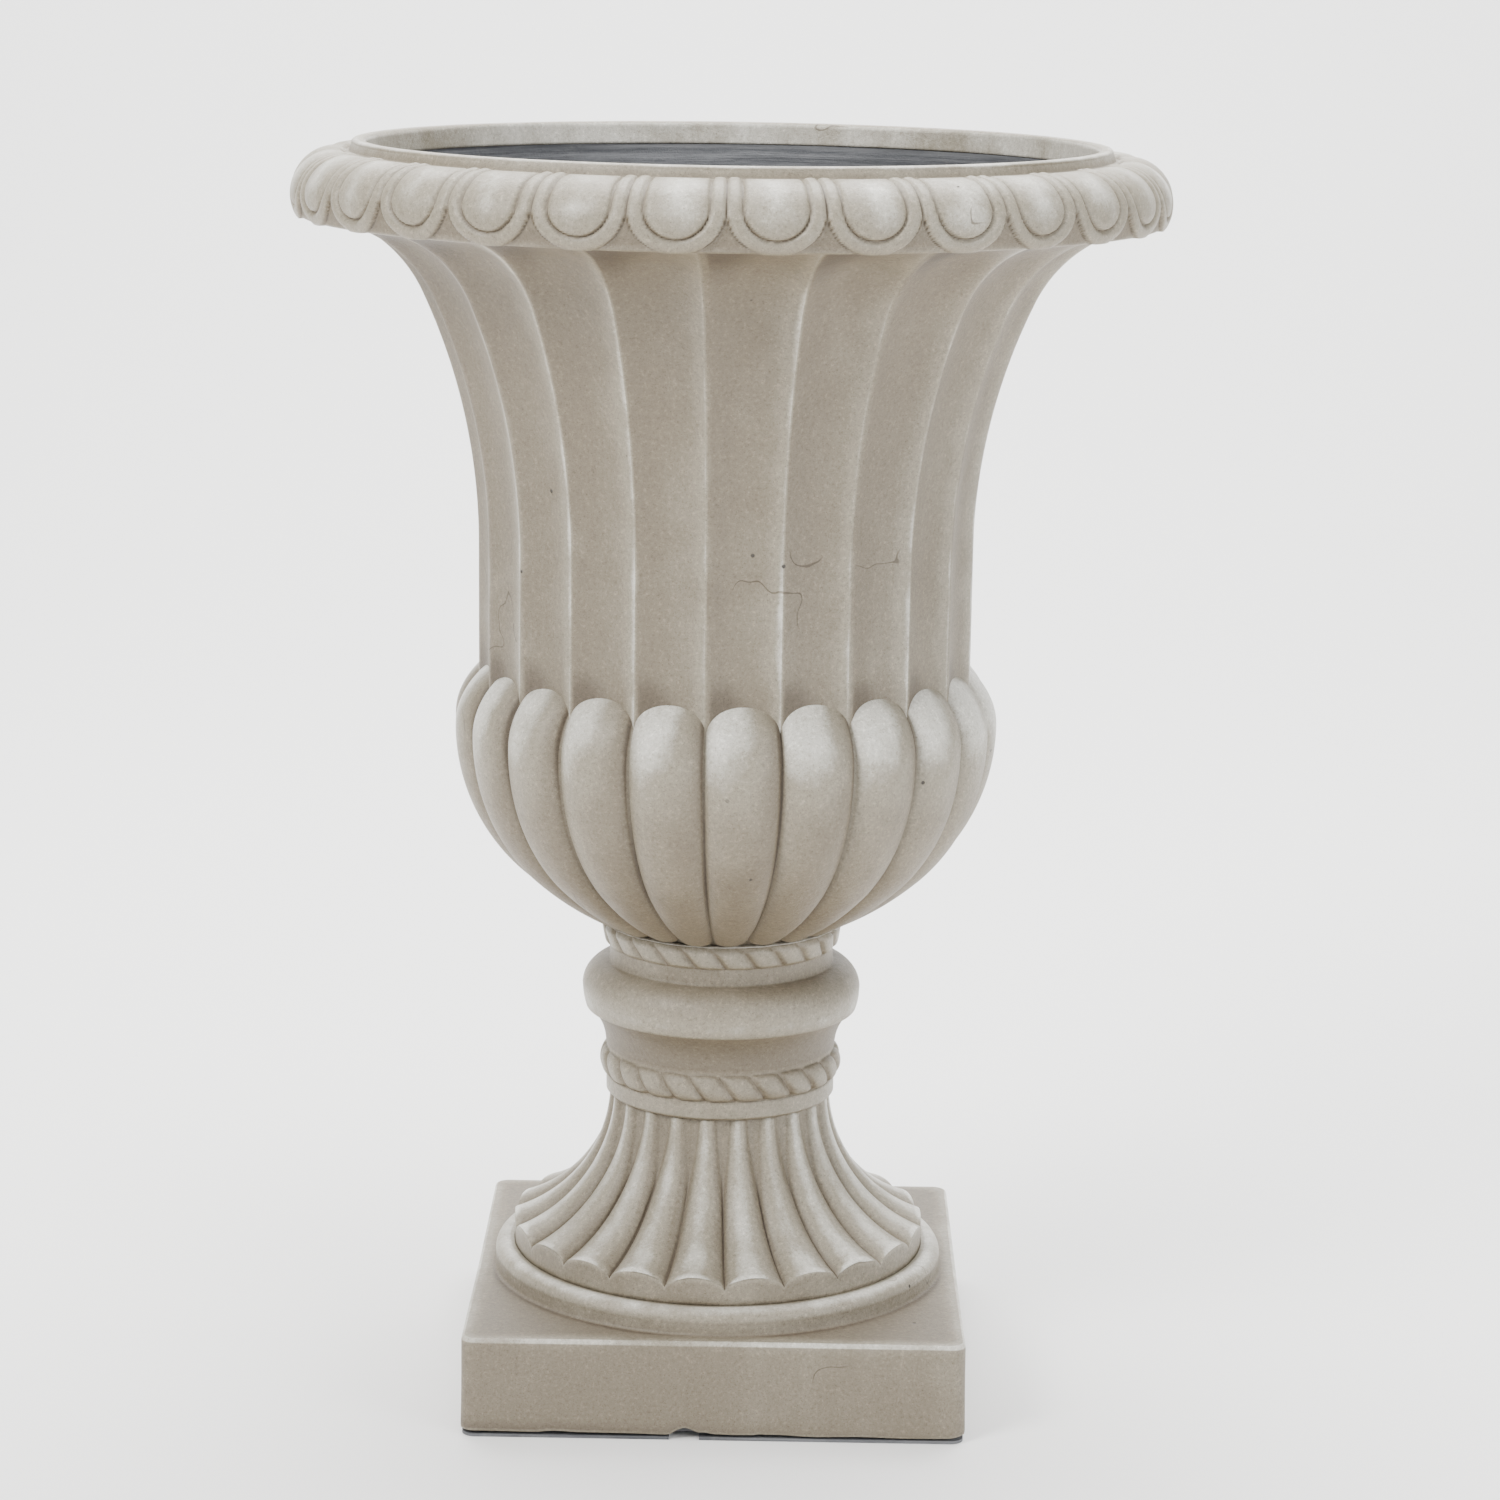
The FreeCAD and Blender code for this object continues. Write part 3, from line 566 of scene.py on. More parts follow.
# --------------------------------------------------------------------------------------- rim
RIM = (237.0, BOWL_TOP - 32.0)  # centre of the roll
RIM_GROUND = 24.0  # radius of the roll's ground
STRIP_REACH = 25.5  # radius of the roll out to the strips
ROLL_START = -29.0
OFF_ROLL = -99.0  # stands for a row that isn't on the roll
EGG_BEARING = math.radians(6.0)
EGG_HALF = 17.6
EGG_FOOT = 12.2
EGG_TOP = 45.0
STRIP_MIDDLE = 22.9
STRIP_HALF = 3.9
COLLAR_FOOT = (228.4, RIM[1] + 25.4)
COLLAR_TOP = (220.8, 224.3)  # inner and outer radius of its flat top
MOUTH = (218.0, 218.6)  # radius of the lip's face, at its base and at its top


def egg_shape(along, inside, reach):
    """Height over the roll's ground of the tongue, its groove and its strip.

    Inside is the distance out past the edge of the tongue, and reach the one from its middle.
    """
    dome = np.clip(-inside / EGG_HALF, 0, 1)
    tongue = 0.9 + 2.0 * (1 - (1 - dome) ** 2.2) ** 0.75
    off = np.abs(reach - STRIP_MIDDLE)
    strip_shape = 0.2 + 1.8 * np.sqrt(np.clip(1 - (off / (STRIP_HALF + 0.5)) ** 2, 0, 1))
    ground = -0.9 * smooth(-13.5, -9.0, along)
    rise = ground + (tongue - ground) * smooth(0.5, -0.7, inside)
    return rise + (strip_shape - rise) * smooth(STRIP_HALF + 0.45, STRIP_HALF - 0.25, off)


def egg_paint(along, inside, reach):
    """Relief of the same: pale tongues and strips, with painted shade in the grooves round them and a
    little painted shade low down outside the strips.
    """
    dome = np.clip(-inside / EGG_HALF, 0, 1)
    egg = smooth(0.5, -0.7, inside)
    strip = smooth(STRIP_HALF + 0.45, STRIP_HALF - 0.25, np.abs(reach - STRIP_MIDDLE))
    open_ground = smooth(-13.5, -9.0, along)
    recess = smooth(EGG_FOOT + 14, EGG_FOOT - 8, along) * (reach > STRIP_MIDDLE)
    paint = 0.17 + 0.22 * (1 - open_ground) - 0.05 * recess + 0.64 * egg * (0.64 + 0.36 * dome)
    paint = paint + (0.58 - paint) * strip
    # Dark lines in the grooves round each tongue and outside each strip: painted shade.
    egg_line = ridge(inside - 0.5, 0.6)
    strip_line = ridge(reach - STRIP_MIDDLE - STRIP_HALF - 0.3, 0.5)
    return paint - 0.24 * egg_line - 0.28 * strip_line


def rim_legs():
    """The rim's outline in three legs: under the roll, the roll with its shelf, and the collar."""
    under = joined(
        line((243.0, RIM[1] - 9.5), (255.8, RIM[1] - 12.4), 2.0),
        line((255.8, RIM[1] - 12.4), (257.2, RIM[1] - 12.6), 0.8),
    )
    roll = arc(RIM, RIM_GROUND, ROLL_START, 90, 1.0)
    shelf = line((RIM[0], RIM[1] + RIM_GROUND), COLLAR_FOOT, 1.0)
    collar = joined(
        line(COLLAR_FOOT, (226.6, BOWL_TOP - 1.6), 0.9),
        arc((COLLAR_TOP[1], BOWL_TOP - 2.4), 2.4, 10, 90, 0.8),
        line((COLLAR_TOP[1], BOWL_TOP), (COLLAR_TOP[0], BOWL_TOP), 1.2),
        arc((COLLAR_TOP[0], BOWL_TOP - 2.2), 2.2, 90, 180, 0.8),
        line((MOUTH[1], BOWL_TOP - 2.2), (MOUTH[0], LIP_BASE + 0.3), 1.2),
        line((MOUTH[0], LIP_BASE + 0.3), (219.8, LIP_BASE), 1.2),
        polyline([(219.8, LIP_BASE), (221.5, RIM[1] + 4), (232.0, RIM[1] - 6)], 4.0),
    )
    return under, roll, shelf, collar


def way_up_roll(outline, first, count):
    """Distance up the roll from its level radius, at the strips' reach, for each row."""
    steps = np.hypot(*np.diff(outline[first:first + count], axis=0).T)
    run = np.concatenate([[0], np.cumsum(steps)]) * (STRIP_REACH / RIM_GROUND)
    along = np.full((len(outline), 1), OFF_ROLL)
    along[first:first + count, 0] = run + math.radians(ROLL_START) * STRIP_REACH
    return along


def collar_paint(radius, high):
    """Relief of the rows off the roll: paler on the collar's top edge and on the lip."""
    edge = ridge(high - BOWL_TOP, 1.5) * (radius > 222)
    lip = (radius < 219.0) & (high < BOWL_TOP - 0.5)
    return 0.60 + 0.15 * edge + 0.16 * lip


def rim():
    """The rolled rim with its tongues, the collar round the mouth and the ivory lip inside."""
    bearing = bearing_row(EGGS * 44, EGG_BEARING)
    under, roll, shelf, collar = rim_legs()
    outline = joined(under, roll, shelf, collar)
    outward = normals(outline)
    radius, high = outline[:, :1], outline[:, 1:]
    along = way_up_roll(outline, len(under), len(roll) + len(shelf))
    on_roll = along > OFF_ROLL
    across = (RIM[0] + RIM_GROUND) * repeat_share(bearing, EGGS, EGG_BEARING) * math.pi / EGGS
    reach = np.hypot(across, np.minimum(along - EGG_FOOT, 0))
    inside = np.maximum(reach - EGG_HALF, along - EGG_TOP)
    fade = smooth(RIM[0] - 8.0, RIM[0] - 4.5, radius)
    fade[:len(under) + len(roll)] = 1.0
    rise = np.where(on_roll, egg_shape(along, inside, reach) * fade, 0.0)
    uneven = 0.45 * wave_noise(bearing, high, 90, 11, 8) - 0.45
    uneven = uneven * np.where(high > BOWL_TOP - 1.9, 0.25, 1.0)
    plain = collar_paint(radius, high)
    paint = egg_paint(along, inside, reach) * fade + plain * (1 - fade)
    collar_groove = ridge(radius - COLLAR_FOOT[0], 1.3) * (high > RIM[1] + 20)
    relief = np.where(on_roll, paint, plain) - 0.35 * collar_groove
    return ring_mesh(radius + rise * outward[:, :1] + uneven, high + rise * outward[:, 1:],
                     bearing, relief)


# --------------------------------------------------------------------------- inside the bowl
ROD_HOLE = 6.5
DRAIN_HOLE = 8.0
DRAIN_X = (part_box("drain_plug")[0].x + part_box("drain_plug")[1].x) / 2 / MM
DISC_SIDES = 96
HOLE_SIDES = 32
SCREED_DEPTH = 6.0
LINING_WAIST = 135.0
LINING_WALL = 5.5
LINING_ROUGH = 0.9


def in_order(triangles):
    """The same triangles in an order that is the same on each run, which bmesh's isn't."""
    first = triangles.argmin(1)[:, None]
    triangles = np.take_along_axis(triangles, (first + np.arange(3)) % 3, 1)
    return triangles[np.lexsort(triangles.T[::-1])]


def holed_disc(radius, low, high, holes):
    """A flat round floor with round holes (x, radius) through it, as triangles."""
    mesh = bmesh.new()
    loops = [(0.0, radius, DISC_SIDES)] + [(x, r, HOLE_SIDES) for x, r in holes]
    edges = []
    for x, r, count in loops:
        ring = [mesh.verts.new(((x + r * math.cos(a)) * MM, r * math.sin(a) * MM, high * MM))
                for a in bearings(count)]
        edges += [mesh.edges.new((a, b)) for a, b in zip(ring, ring[1:] + ring[:1])]
    bmesh.ops.triangle_fill(mesh, use_beauty=True, use_dissolve=False, edges=edges)
    bmesh.ops.recalc_face_normals(mesh, faces=mesh.faces)
    if sum(face.normal.z for face in mesh.faces) < 0:
        bmesh.ops.reverse_faces(mesh, faces=mesh.faces)
    top = list(mesh.faces)
    made = bmesh.ops.extrude_face_region(mesh, geom=top)
    moved = [item for item in made["geom"] if isinstance(item, bmesh.types.BMVert)]
    bmesh.ops.translate(mesh, verts=moved, vec=(0, 0, (low - high) * MM))
    bmesh.ops.recalc_face_normals(mesh, faces=mesh.faces)
    bmesh.ops.triangulate(mesh, faces=mesh.faces)
    mesh.verts.index_update()
    verts = np.array([v.co for v in mesh.verts])
    faces = np.array([[v.index for v in face.verts] for face in mesh.faces])
    mesh.free()
    return verts, in_order(faces), np.full(len(verts), 0.35)


def bowl_floor():
    """The casting's own floor, below the screed."""
    holes = [(0.0, ROD_HOLE), (DRAIN_X, DRAIN_HOLE)]
    return holed_disc(70.0, BOWL_BASE, FLOOR_TOP - SCREED_DEPTH - 0.2, holes)


def floor_screed():
    """The raw level floor that the washers and the plug sit on."""
    holes = [(0.0, ROD_HOLE), (DRAIN_X, DRAIN_HOLE)]
    return holed_disc(79.8, FLOOR_TOP - SCREED_DEPTH, FLOOR_TOP, holes)


def lining():
    """The raw backing inside the bowl, from its floor up to the ivory lip."""
    bearing = bearing_row(480)
    inner = joined(
        polyline([(80.1, FLOOR_TOP), (113.3, BELLY[1] - 77.3)], 4),
        arc(BELLY, BELLY_CURVE - 19, BELLY_START, -28.6, 4),
        line((LINING_WAIST, BELLY[1] - 49.8), (LINING_WAIST, BELL_LOWER[1]), 5),
        arc(BELL_LOWER, BELL_LOWER[0] - LINING_WAIST, 180, 180 - BELL_BEND, 5),
        arc(BELL_UPPER, BELL_UPPER_CURVE + 16, 180 - BELL_BEND, 180 - 65.8, 3),
        line((219.0, BELL_UPPER[1] + 89.4), (218.2, LIP_BASE - 0.3), 3),
        line((218.2, LIP_BASE - 0.3), (221.0, LIP_BASE - 0.3), 3),
    )
    outward = normals(inner)
    radius, high = inner[:, :1], inner[:, 1:]
    rough = LINING_ROUGH * wave_noise(bearing, high, 24, 21, 5)
    rough = rough * smooth(FLOOR_TOP, FLOOR_TOP + 8, high) * smooth(LIP_BASE, LIP_BASE - 6, high)
    radius = radius - (rough - LINING_ROUGH / 2) * outward[:, :1]
    skin = radius, np.broadcast_to(high, radius.shape), np.full_like(radius, 0.4)
    back = (inner + outward * LINING_WALL)[::-1]
    back = np.stack([back[:, 0], np.minimum(back[:, 1], LIP_BASE - 0.3)], 1)
    return backed_ring(skin, back, bearing, 0.4, downwards=True)


# -------------------------------------------------------------------------------------- stem
BAND = 71.4
NECK_BAND = 69.5
ROPE_LOW = (STEM_BASE + 12.0, STEM_BASE + 28.0)
ROPE_HIGH = (STEM_TOP - 14.0, STEM_TOP)
ROPE_TURN_LOW = (0.1, 8.4)  # a groove's bearing in degrees, at a ring's top and at its bottom
ROPE_TURN_HIGH = (-5.3, 2.7)
SCOTIA = (106.1, STEM_BASE + 29.8)
SCOTIA_CURVE = 34.2
SCOTIA_FOOT = (72.0, STEM_BASE + 33.0)
TORUS_LIP = (84.4, STEM_BASE + 55.0)
TORUS_SIDE = (53.3, STEM_BASE + 66.0)
TORUS_SIDE_CURVE = 33.2
TORUS = (69.7, STEM_BASE + 67.0)
TORUS_CURVE = 17.0
STEM_BORE = 50.0


def rope_relief(bearing, high, bottom, top, turn):
    """Twisted strands: each bulges between slanting grooves and rounds off at its ends."""
    share = (top - high) / (top - bottom)
    centre = np.radians(turn[0] + (turn[1] - turn[0]) * share)
    across = np.abs(repeat_share(bearing, STRANDS, centre))
    worn = 1 + 0.28 * wave_noise(bearing, high, 30, 35, 14)
    groove = ridge(across, 0.24)
    hairline = ridge(across, 0.07)
    swell = 1 - (1 - across) ** 2.4
    ends = np.sqrt(np.clip(1 - (2 * share - 1) ** 4, 0, 1))
    rise = (0.5 + swell * worn - 1.4 * groove * worn) * ends
    paint = 0.26 + 0.24 * ends * (1 - (1 - across) ** 2) - 0.08 * groove - 0.16 * hairline * worn
    return rise, paint


def stem_outline():
    """Up the turned members, from the lower band to the upper rope ring, and down the bore."""
    bottom, top = ROPE_LOW
    neck_top = ROPE_HIGH[0]
    return joined(
        line((60.0, STEM_BASE), (70.2, STEM_BASE), 3),
        line((70.2, STEM_BASE), (BAND, STEM_BASE + 1.2), 0.8),
        line((BAND, STEM_BASE + 1.2), (BAND, bottom - 0.8), 1.5),
        line((BAND, bottom - 0.8), (BAND - 0.9, bottom), 0.8),
        line((BAND - 0.9, bottom), (BAND + 1.6, bottom + 2.2), 0.6),
        arc((59.0, STEM_BASE + 20.0), 15.0, -24, 24, 0.7),
        line((BAND + 1.3, top - 1.9), (BAND - 0.4, top), 0.6),
        line((BAND - 0.4, top), SCOTIA_FOOT, 1.5),
        arc(SCOTIA, SCOTIA_CURVE, 174.6, 132.5, 1.5)[1:],
        line((83.0, STEM_BASE + 54.9), TORUS_LIP, 0.7),
        arc(TORUS_SIDE, TORUS_SIDE_CURVE, -19.0, 2.0, 1.3),
        arc(TORUS, TORUS_CURVE, 4, 90, 1.3),
        line((TORUS[0] + 0.4, STEM_BASE + 84.0), (NECK_BAND, STEM_BASE + 85.6), 0.8),
        line((NECK_BAND, STEM_BASE + 85.6), (NECK_BAND, neck_top - 0.5), 1.5),
        line((NECK_BAND, neck_top - 0.5), (71.2, neck_top + 2.0), 0.6),
        line((71.2, neck_top + 2.0), (73.2, STEM_TOP - 3.0), 0.7),
        line((73.2, STEM_TOP - 3.0), (71.5, STEM_TOP), 0.7),
        polyline([(71.5, STEM_TOP), (STEM_BORE, STEM_TOP), (STEM_BORE, STEM_BASE), (60.0, STEM_BASE)], 6),
    )


def turned_paint(high, outside):
    """What the turned members add to the relief: a pale torus, partly wear and partly a painted
    highlight, a tan scotia and tan necks.
    """
    up = high - STEM_BASE
    off_ropes = (high >= ROPE_LOW[0]) & (high <= ROPE_HIGH[0])
    under_neck = smooth(72, 84, up) * smooth(ROPE_HIGH[0] + 0.1, ROPE_HIGH[0], high)
    # The pale band round the torus's lower half is partly wear and partly a painted highlight.
    bulge = ridge(up - 61, 6) * outside * off_ropes
    lower_band = (up > 1) & (high < ROPE_LOW[0] - 1)
    scotia = (up > 30) & (up < 55)
    return 0.26 * bulge + 0.06 * (up > 55) - 0.16 * under_neck - 0.26 * scotia + 0.12 * lower_band


def stem():
    """Turned members from the lower band up to the upper rope ring."""
    bearing = bearing_row(STRANDS * 30)
    outline = stem_outline()
    outward = normals(outline)
    radius, high = outline[:, :1], outline[:, 1:]
    rise = np.zeros((len(outline), bearing.size))
    relief = np.full_like(rise, 0.36)
    outside = radius > 62
    for (bottom, top), turn in ((ROPE_LOW, ROPE_TURN_LOW), (ROPE_HIGH, ROPE_TURN_HIGH)):
        on_rope = (high >= bottom) & (high <= top - 0.01) & outside
        swell, paint = rope_relief(bearing, high, bottom, top, turn)
        rise = np.where(on_rope, swell, rise)
        relief = np.where(on_rope, paint, relief)
    uneven = 0.3 * wave_noise(bearing, high, 60, 31, 5) * outside
    radius = radius + (rise + uneven) * outward[:, :1] - 0.3 * outside
    height = np.clip(high + rise * outward[:, 1:], STEM_BASE, STEM_TOP)
    return ring_mesh(radius, height, bearing, relief + turned_paint(high, outside))


def bowl_bead():
    """The mortar squeezed out between the stem's top and the bowl."""
    bearing = bearing_row(360)
    low, high = low_of("bowl_bed"), high_of("bowl_bed")
    outline = np.array([(STEM_BORE, low), (72.2, low), (73.6, (low + high) / 2), (73.0, high),
                        (STEM_BORE, high)])
    squeezed = 0.5 * wave_noise(bearing, outline[:, 1:], 20, 61, 40) * (outline[:, :1] > 70)
    return ring_mesh(outline[:, :1] + squeezed, outline[:, 1:], bearing, 0.3)


# -------------------------------------------------------------------------------------- foot
REED_BEARING = math.radians(10.9)
FLARE = (157.5, FOOT_TOP + 4.0)
FLARE_CURVE = 88.5
FOOT_EDGE = 128.5
FOOT_WALL_BASE = RING_SEAT + 0.1


def reed_depth(high, share, wide, crack):
    """How far the skin lies below the reeds' crests: round backs, then a narrow channel."""
    curve = round_fall(np.clip(share / wide, 0, 1), 0.95)
    full = 3.0 + 3.2 * smooth(FOOT_TOP, FOOT_BASE + 14, high)
    valley = np.clip((share - wide) / (1 - wide), 0, 1)
    return full * curve + 0.7 * np.sin(valley * math.pi / 2) + 0.5 * crack


def reed_paint(bearing, crest, side, wide, crack):
    """Pale crowns, partly wear and partly a painted highlight set to their left, a pale scalloped lip,
    dark lines in the valleys and painted shade on one side.
    """
    high = crest[:, 1:]
    uneven = wave_noise(bearing, high, 34, 45, 12)
    curve = round_fall(np.clip(np.abs(side) / wide, 0, 1), 0.95)
    # The crown is set left of each reed's middle: painted highlight.
    crown = np.clip(1 - (side + 0.12) ** 2 / (wide * 0.8) ** 2, 0, 1)
    relief = 0.32 + 0.50 * crown - 0.06 * curve - (0.22 + 0.12 * uneven) * crack + 0.05 * uneven
    # Painted shade down the right side of each reed.
    shade = ridge(side - wide, 0.2) * smooth(FOOT_TOP - 4, FOOT_TOP - 30, high)
    lip = smooth(FOOT_EDGE - 5, FOOT_EDGE - 1, crest[:, :1])
    return relief - (0.10 + 0.06 * uneven) * shade + (0.24 + 0.16 * uneven) * lip * (1 - crack)


def foot_wall(tip, bearing):
    """Rows down the foot's upright edge, from the scallops at tip to its bed."""
    share = np.array([0.0, 0.06, 0.2, 0.4, 0.6, 0.8, 1.0])[:, None]
    height = tip * (1 - share) + FOOT_WALL_BASE * share
    radius = FOOT_EDGE - 0.5 + 0.35 * wave_noise(bearing, height, 20, 43, 12)
    relief = np.broadcast_to(0.30 + 0.3 * ridge(share, 0.1), height.shape)
    return radius, height, relief


def foot_inside():
    """The hollow's outline, from the bed up to the spigot at the neck."""
    return polyline([
        (127.0, FOOT_WALL_BASE), (127.0, FOOT_BASE), (100, FOOT_BASE), (100, FOOT_BASE + 14),
        (42, FOOT_TOP - 9), (42, FOOT_TOP + 12), (49, FOOT_TOP + 12), (49, FOOT_TOP),
    ], 5)


def foot():
    """Convex reeds that sweep down the flare and end in a scalloped edge.

    The crest runs downwards, so its normals point into the stone.
    """
    bearing = bearing_row(REEDS * 34, REED_BEARING)
    crest = arc(FLARE, FLARE_CURVE, 182.6, 250.9, 1.6)
    crest = joined(crest, [(FOOT_EDGE - 0.6, FLARE[1] - 83.7)])
    drop = np.linspace(0, 1, len(crest))[:, None] ** 3
    way = normals(crest) * (1 - drop) + np.array([0.0, -1.0]) * drop
    radius, high = crest[:, :1], crest[:, 1:]
    side = repeat_share(bearing, REEDS, REED_BEARING)
    share = np.abs(side)
    wide = 0.56 + 0.42 * smooth(FOOT_TOP + 4, FOOT_TOP - 56, high)
    crack = ridge((1 - share) * radius * math.tan(math.pi / REEDS), 1.1)
    crack = crack * smooth(FOOT_TOP - 12, FOOT_TOP - 55, high)
    chips = np.clip(wave_noise(bearing, 0 * high, 50, 47, 70), 0.5, 2) - 0.5
    depth = reed_depth(high, share, wide, crack)
    depth = depth + 0.45 * wave_noise(bearing, high, 50, 41, 9) + 0.35
    depth = depth + 1.3 * chips * smooth(FOOT_EDGE - 3, FOOT_EDGE - 0.8, radius)
    outer_z = high + depth * way[:, 1:]
    reeds = radius + depth * way[:, :1], outer_z, reed_paint(bearing, crest, side, wide, crack)
    wall = foot_wall(outer_z[-1:], bearing)
    outer_r, outer_z, relief = (np.concatenate(pair) for pair in zip(reeds, wall))
    skin = outer_r, np.minimum(outer_z, FOOT_TOP), relief
    return backed_ring(skin, foot_inside(), bearing, 0.3, downwards=True)


# ------------------------------------------------------------------------------------ plinth
PLINTH_CORNER = 8.0
SKIN = 7.0
INNER_CORNER = 1.0
EDGE_ROUND = 3.0
BATTER = 0.9  # how far the sides lean in by the rounded top edge
NOTCH_X = -17.0
NOTCH_HALF = 9.0
NOTCH_HEIGHT = 4.2
RING_MIDDLE = 132.8
RING_CURVE = 7.2
RING_CREST = RING_SEAT + 1.4
RING_OUT = 142.4
SOCKET_FLOOR = RING_SEAT - 2.0


class Rows:
    """Rows of a closed ring, gathered in order along its outline."""

    def __init__(self, bearing):
        self.bearing = bearing
        self.radii, self.heights, self.paints = [], [], []

    def add(self, radius, height, paint):
        for rows, value in ((self.radii, radius), (self.heights, height), (self.paints, paint)):
            rows.append(np.broadcast_to(value, self.bearing.shape))

    def grids(self):
        return tuple(np.concatenate(rows) for rows in (self.radii, self.heights, self.paints))


def square_bearings():
    """Bearings of even steps round the plinth's outline, closer together at its corners."""
    flat = PLINTH_HALF - PLINTH_CORNER
    side = np.linspace(-flat, flat, 120)
    turn = np.radians(np.linspace(0, 90, 10))[1:-1]
    bearing = []
    for quarter in range(4):
        straight = np.arctan2(side, PLINTH_HALF)
        corner = np.arctan2(flat + PLINTH_CORNER * np.sin(turn), flat + PLINTH_CORNER * np.cos(turn))
        bearing.append(np.concatenate([straight, corner]) + quarter * math.pi / 2)
    return np.concatenate(bearing)


def square_radius(bearing, half, corner):
    """Distance from the axis to a rounded square's outline."""
    x, y = np.abs(np.sin(bearing)), np.abs(np.cos(bearing))
    flat = half - corner
    radius = half / np.maximum(x, y)
    past = np.minimum(x, y) * radius > flat
    along = (x + y) * flat
    arc_radius = along + np.sqrt(np.maximum(along ** 2 - (2 * flat ** 2 - corner ** 2), 0))
    return np.where(past, arc_radius, radius)


def worn_base(square, bearing):
    """Height of the plinth's lower edge, with its notch at the front, its waves and its chips."""
    front = np.cos(bearing) > 0.7
    across = np.abs(square * np.sin(bearing) - NOTCH_X) / NOTCH_HALF
    notch = NOTCH_HEIGHT * np.clip(1 - across ** 1.6, 0, 1) * front
    chips = np.clip(wave_noise(bearing, 0 * bearing, 50, 51, 60), 0.35, 2) - 0.35
    wavy = np.clip(0.5 + 0.5 * wave_noise(bearing, 0 * bearing, 50, 55, 24), 0, 2)
    return PLINTH_BASE + 1.0 + notch + 0.9 * wavy + 1.3 * chips


def add_sides(rows, square):
    """From the hollow's lower edge up the sides and round the top edge."""
    bearing = rows.bearing
    base = worn_base(square, bearing)
    low = base + 1.2
    high = PLINTH_TOP - EDGE_ROUND
    # Darker towards the left and paler towards the right: painted shade and painted light.
    side_shading = 0.07 * np.sin(bearing) * np.abs(np.cos(bearing))
    rows.add(square_radius(bearing, PLINTH_HALF - SKIN, INNER_CORNER), base + 1.0, 0.2)
    rows.add(square - 1.6, base, 0.15)
    rows.add(square - 0.3, base + 0.6, 0.55)
    for share in np.linspace(0.02, 1, 26):
        paint = 0.20 + side_shading - 0.10 * smooth(0.2, 0.0, share) + 0.12 * smooth(0.90, 1.0, share)
        rows.add(square - BATTER * share, low + (high - low) * share, paint)
    for angle in np.radians([15, 35, 55, 75]):
        inwards = BATTER + EDGE_ROUND * (1 - math.cos(angle))
        rows.add(square - inwards, high + EDGE_ROUND * math.sin(angle), 0.82)


def add_top(rows, square):
    """The square top, from the edge's rounding in to the seat moulding and its small fillet."""
    edge_in = square - 3.8
    for share in np.linspace(0, 1, 34):
        here = edge_in * (1 - share) + RING_OUT * share
        # A narrow darker band at the moulding's foot is painted shade; the top grows paler towards its
        # rounded edge.
        near_ring = ridge(here - RING_OUT, 2.5)
        near_edge = ridge(edge_in - here, 6.0)
        rows.add(here, PLINTH_TOP, 0.10 - 0.08 * near_ring + 0.42 * near_edge)
    for radius, rise, paint in ((141.2, 0.3, 0.10), (140.5, 0.9, 0.14), (140.1, 1.8, 0.24)):
        rows.add(radius, PLINTH_TOP + rise, paint)


def add_moulding(rows):
    """The round seat moulding, over its crest and in under the foot."""
    for angle in np.radians(np.linspace(-12, 102, 22)):
        radius = RING_MIDDLE + RING_CURVE * math.cos(angle)
        height = RING_CREST - RING_CURVE + RING_CURVE * math.sin(angle)
        # Paler towards the crest: painted highlight.
        rows.add(radius, height, 0.40 + 0.46 * max(math.sin(angle), 0))
    for radius, rise, paint in ((129.8, 1.0, 0.62), (128.5, 0.9, 0.45), (128.25, 0.88, 0.40),
                                (128.2, -0.6, 0.40)):
        rows.add(radius, RING_SEAT + rise, paint)


def add_inside(rows):
    """Under the foot, through the plinth's round opening and out over the hollow's roof."""
    rows.add(126.0, SOCKET_FLOOR, 0.2)
    for radius, height in (
        (120.0, SOCKET_FLOOR), (99.5, SOCKET_FLOOR), (99.0, RING_SEAT + 8), (91, RING_SEAT + 8),
        (91, PLINTH_TOP), (60, PLINTH_TOP), (60, PLINTH_TOP - SKIN),
        (square_radius(rows.bearing, PLINTH_HALF - SKIN, INNER_CORNER), PLINTH_TOP - SKIN),
    ):
        rows.add(radius, height, 0.3)


def plinth():
    """The square base with worn edges, its round seat moulding and a notch to let water out."""
    bearing = square_bearings()[None, :]
    square = square_radius(bearing, PLINTH_HALF - 0.35, PLINTH_CORNER)
    rows = Rows(bearing)
    add_sides(rows, square)
    add_top(rows, square)
    add_moulding(rows)
    add_inside(rows)
    radius, height, paint = rows.grids()
    uneven = 0.22 * wave_noise(bearing, height * 2, 120, 53, 6)
    on_sides = (height < PLINTH_TOP - 1) & (radius > 150)
    radius = radius + np.where(on_sides, uneven - 0.22, 0)
    on_moulding = (height > PLINTH_BASE + 5) & (radius < 150) & (radius > 126)
    height = height + np.where(on_moulding, 0.15 * uneven, 0)
    return ring_mesh(radius, height, bearing, paint)


# ------------------------------------------------------------------------------------ fixings
THREAD_PITCH = 1.75
THREAD_CREST = 5.95
THREAD_DEPTH = 0.85
ROD_SIDES = 28
ROD_END = 4.8  # radius of the rod's chamfered ends
ROD_CHAMFER = 0.8


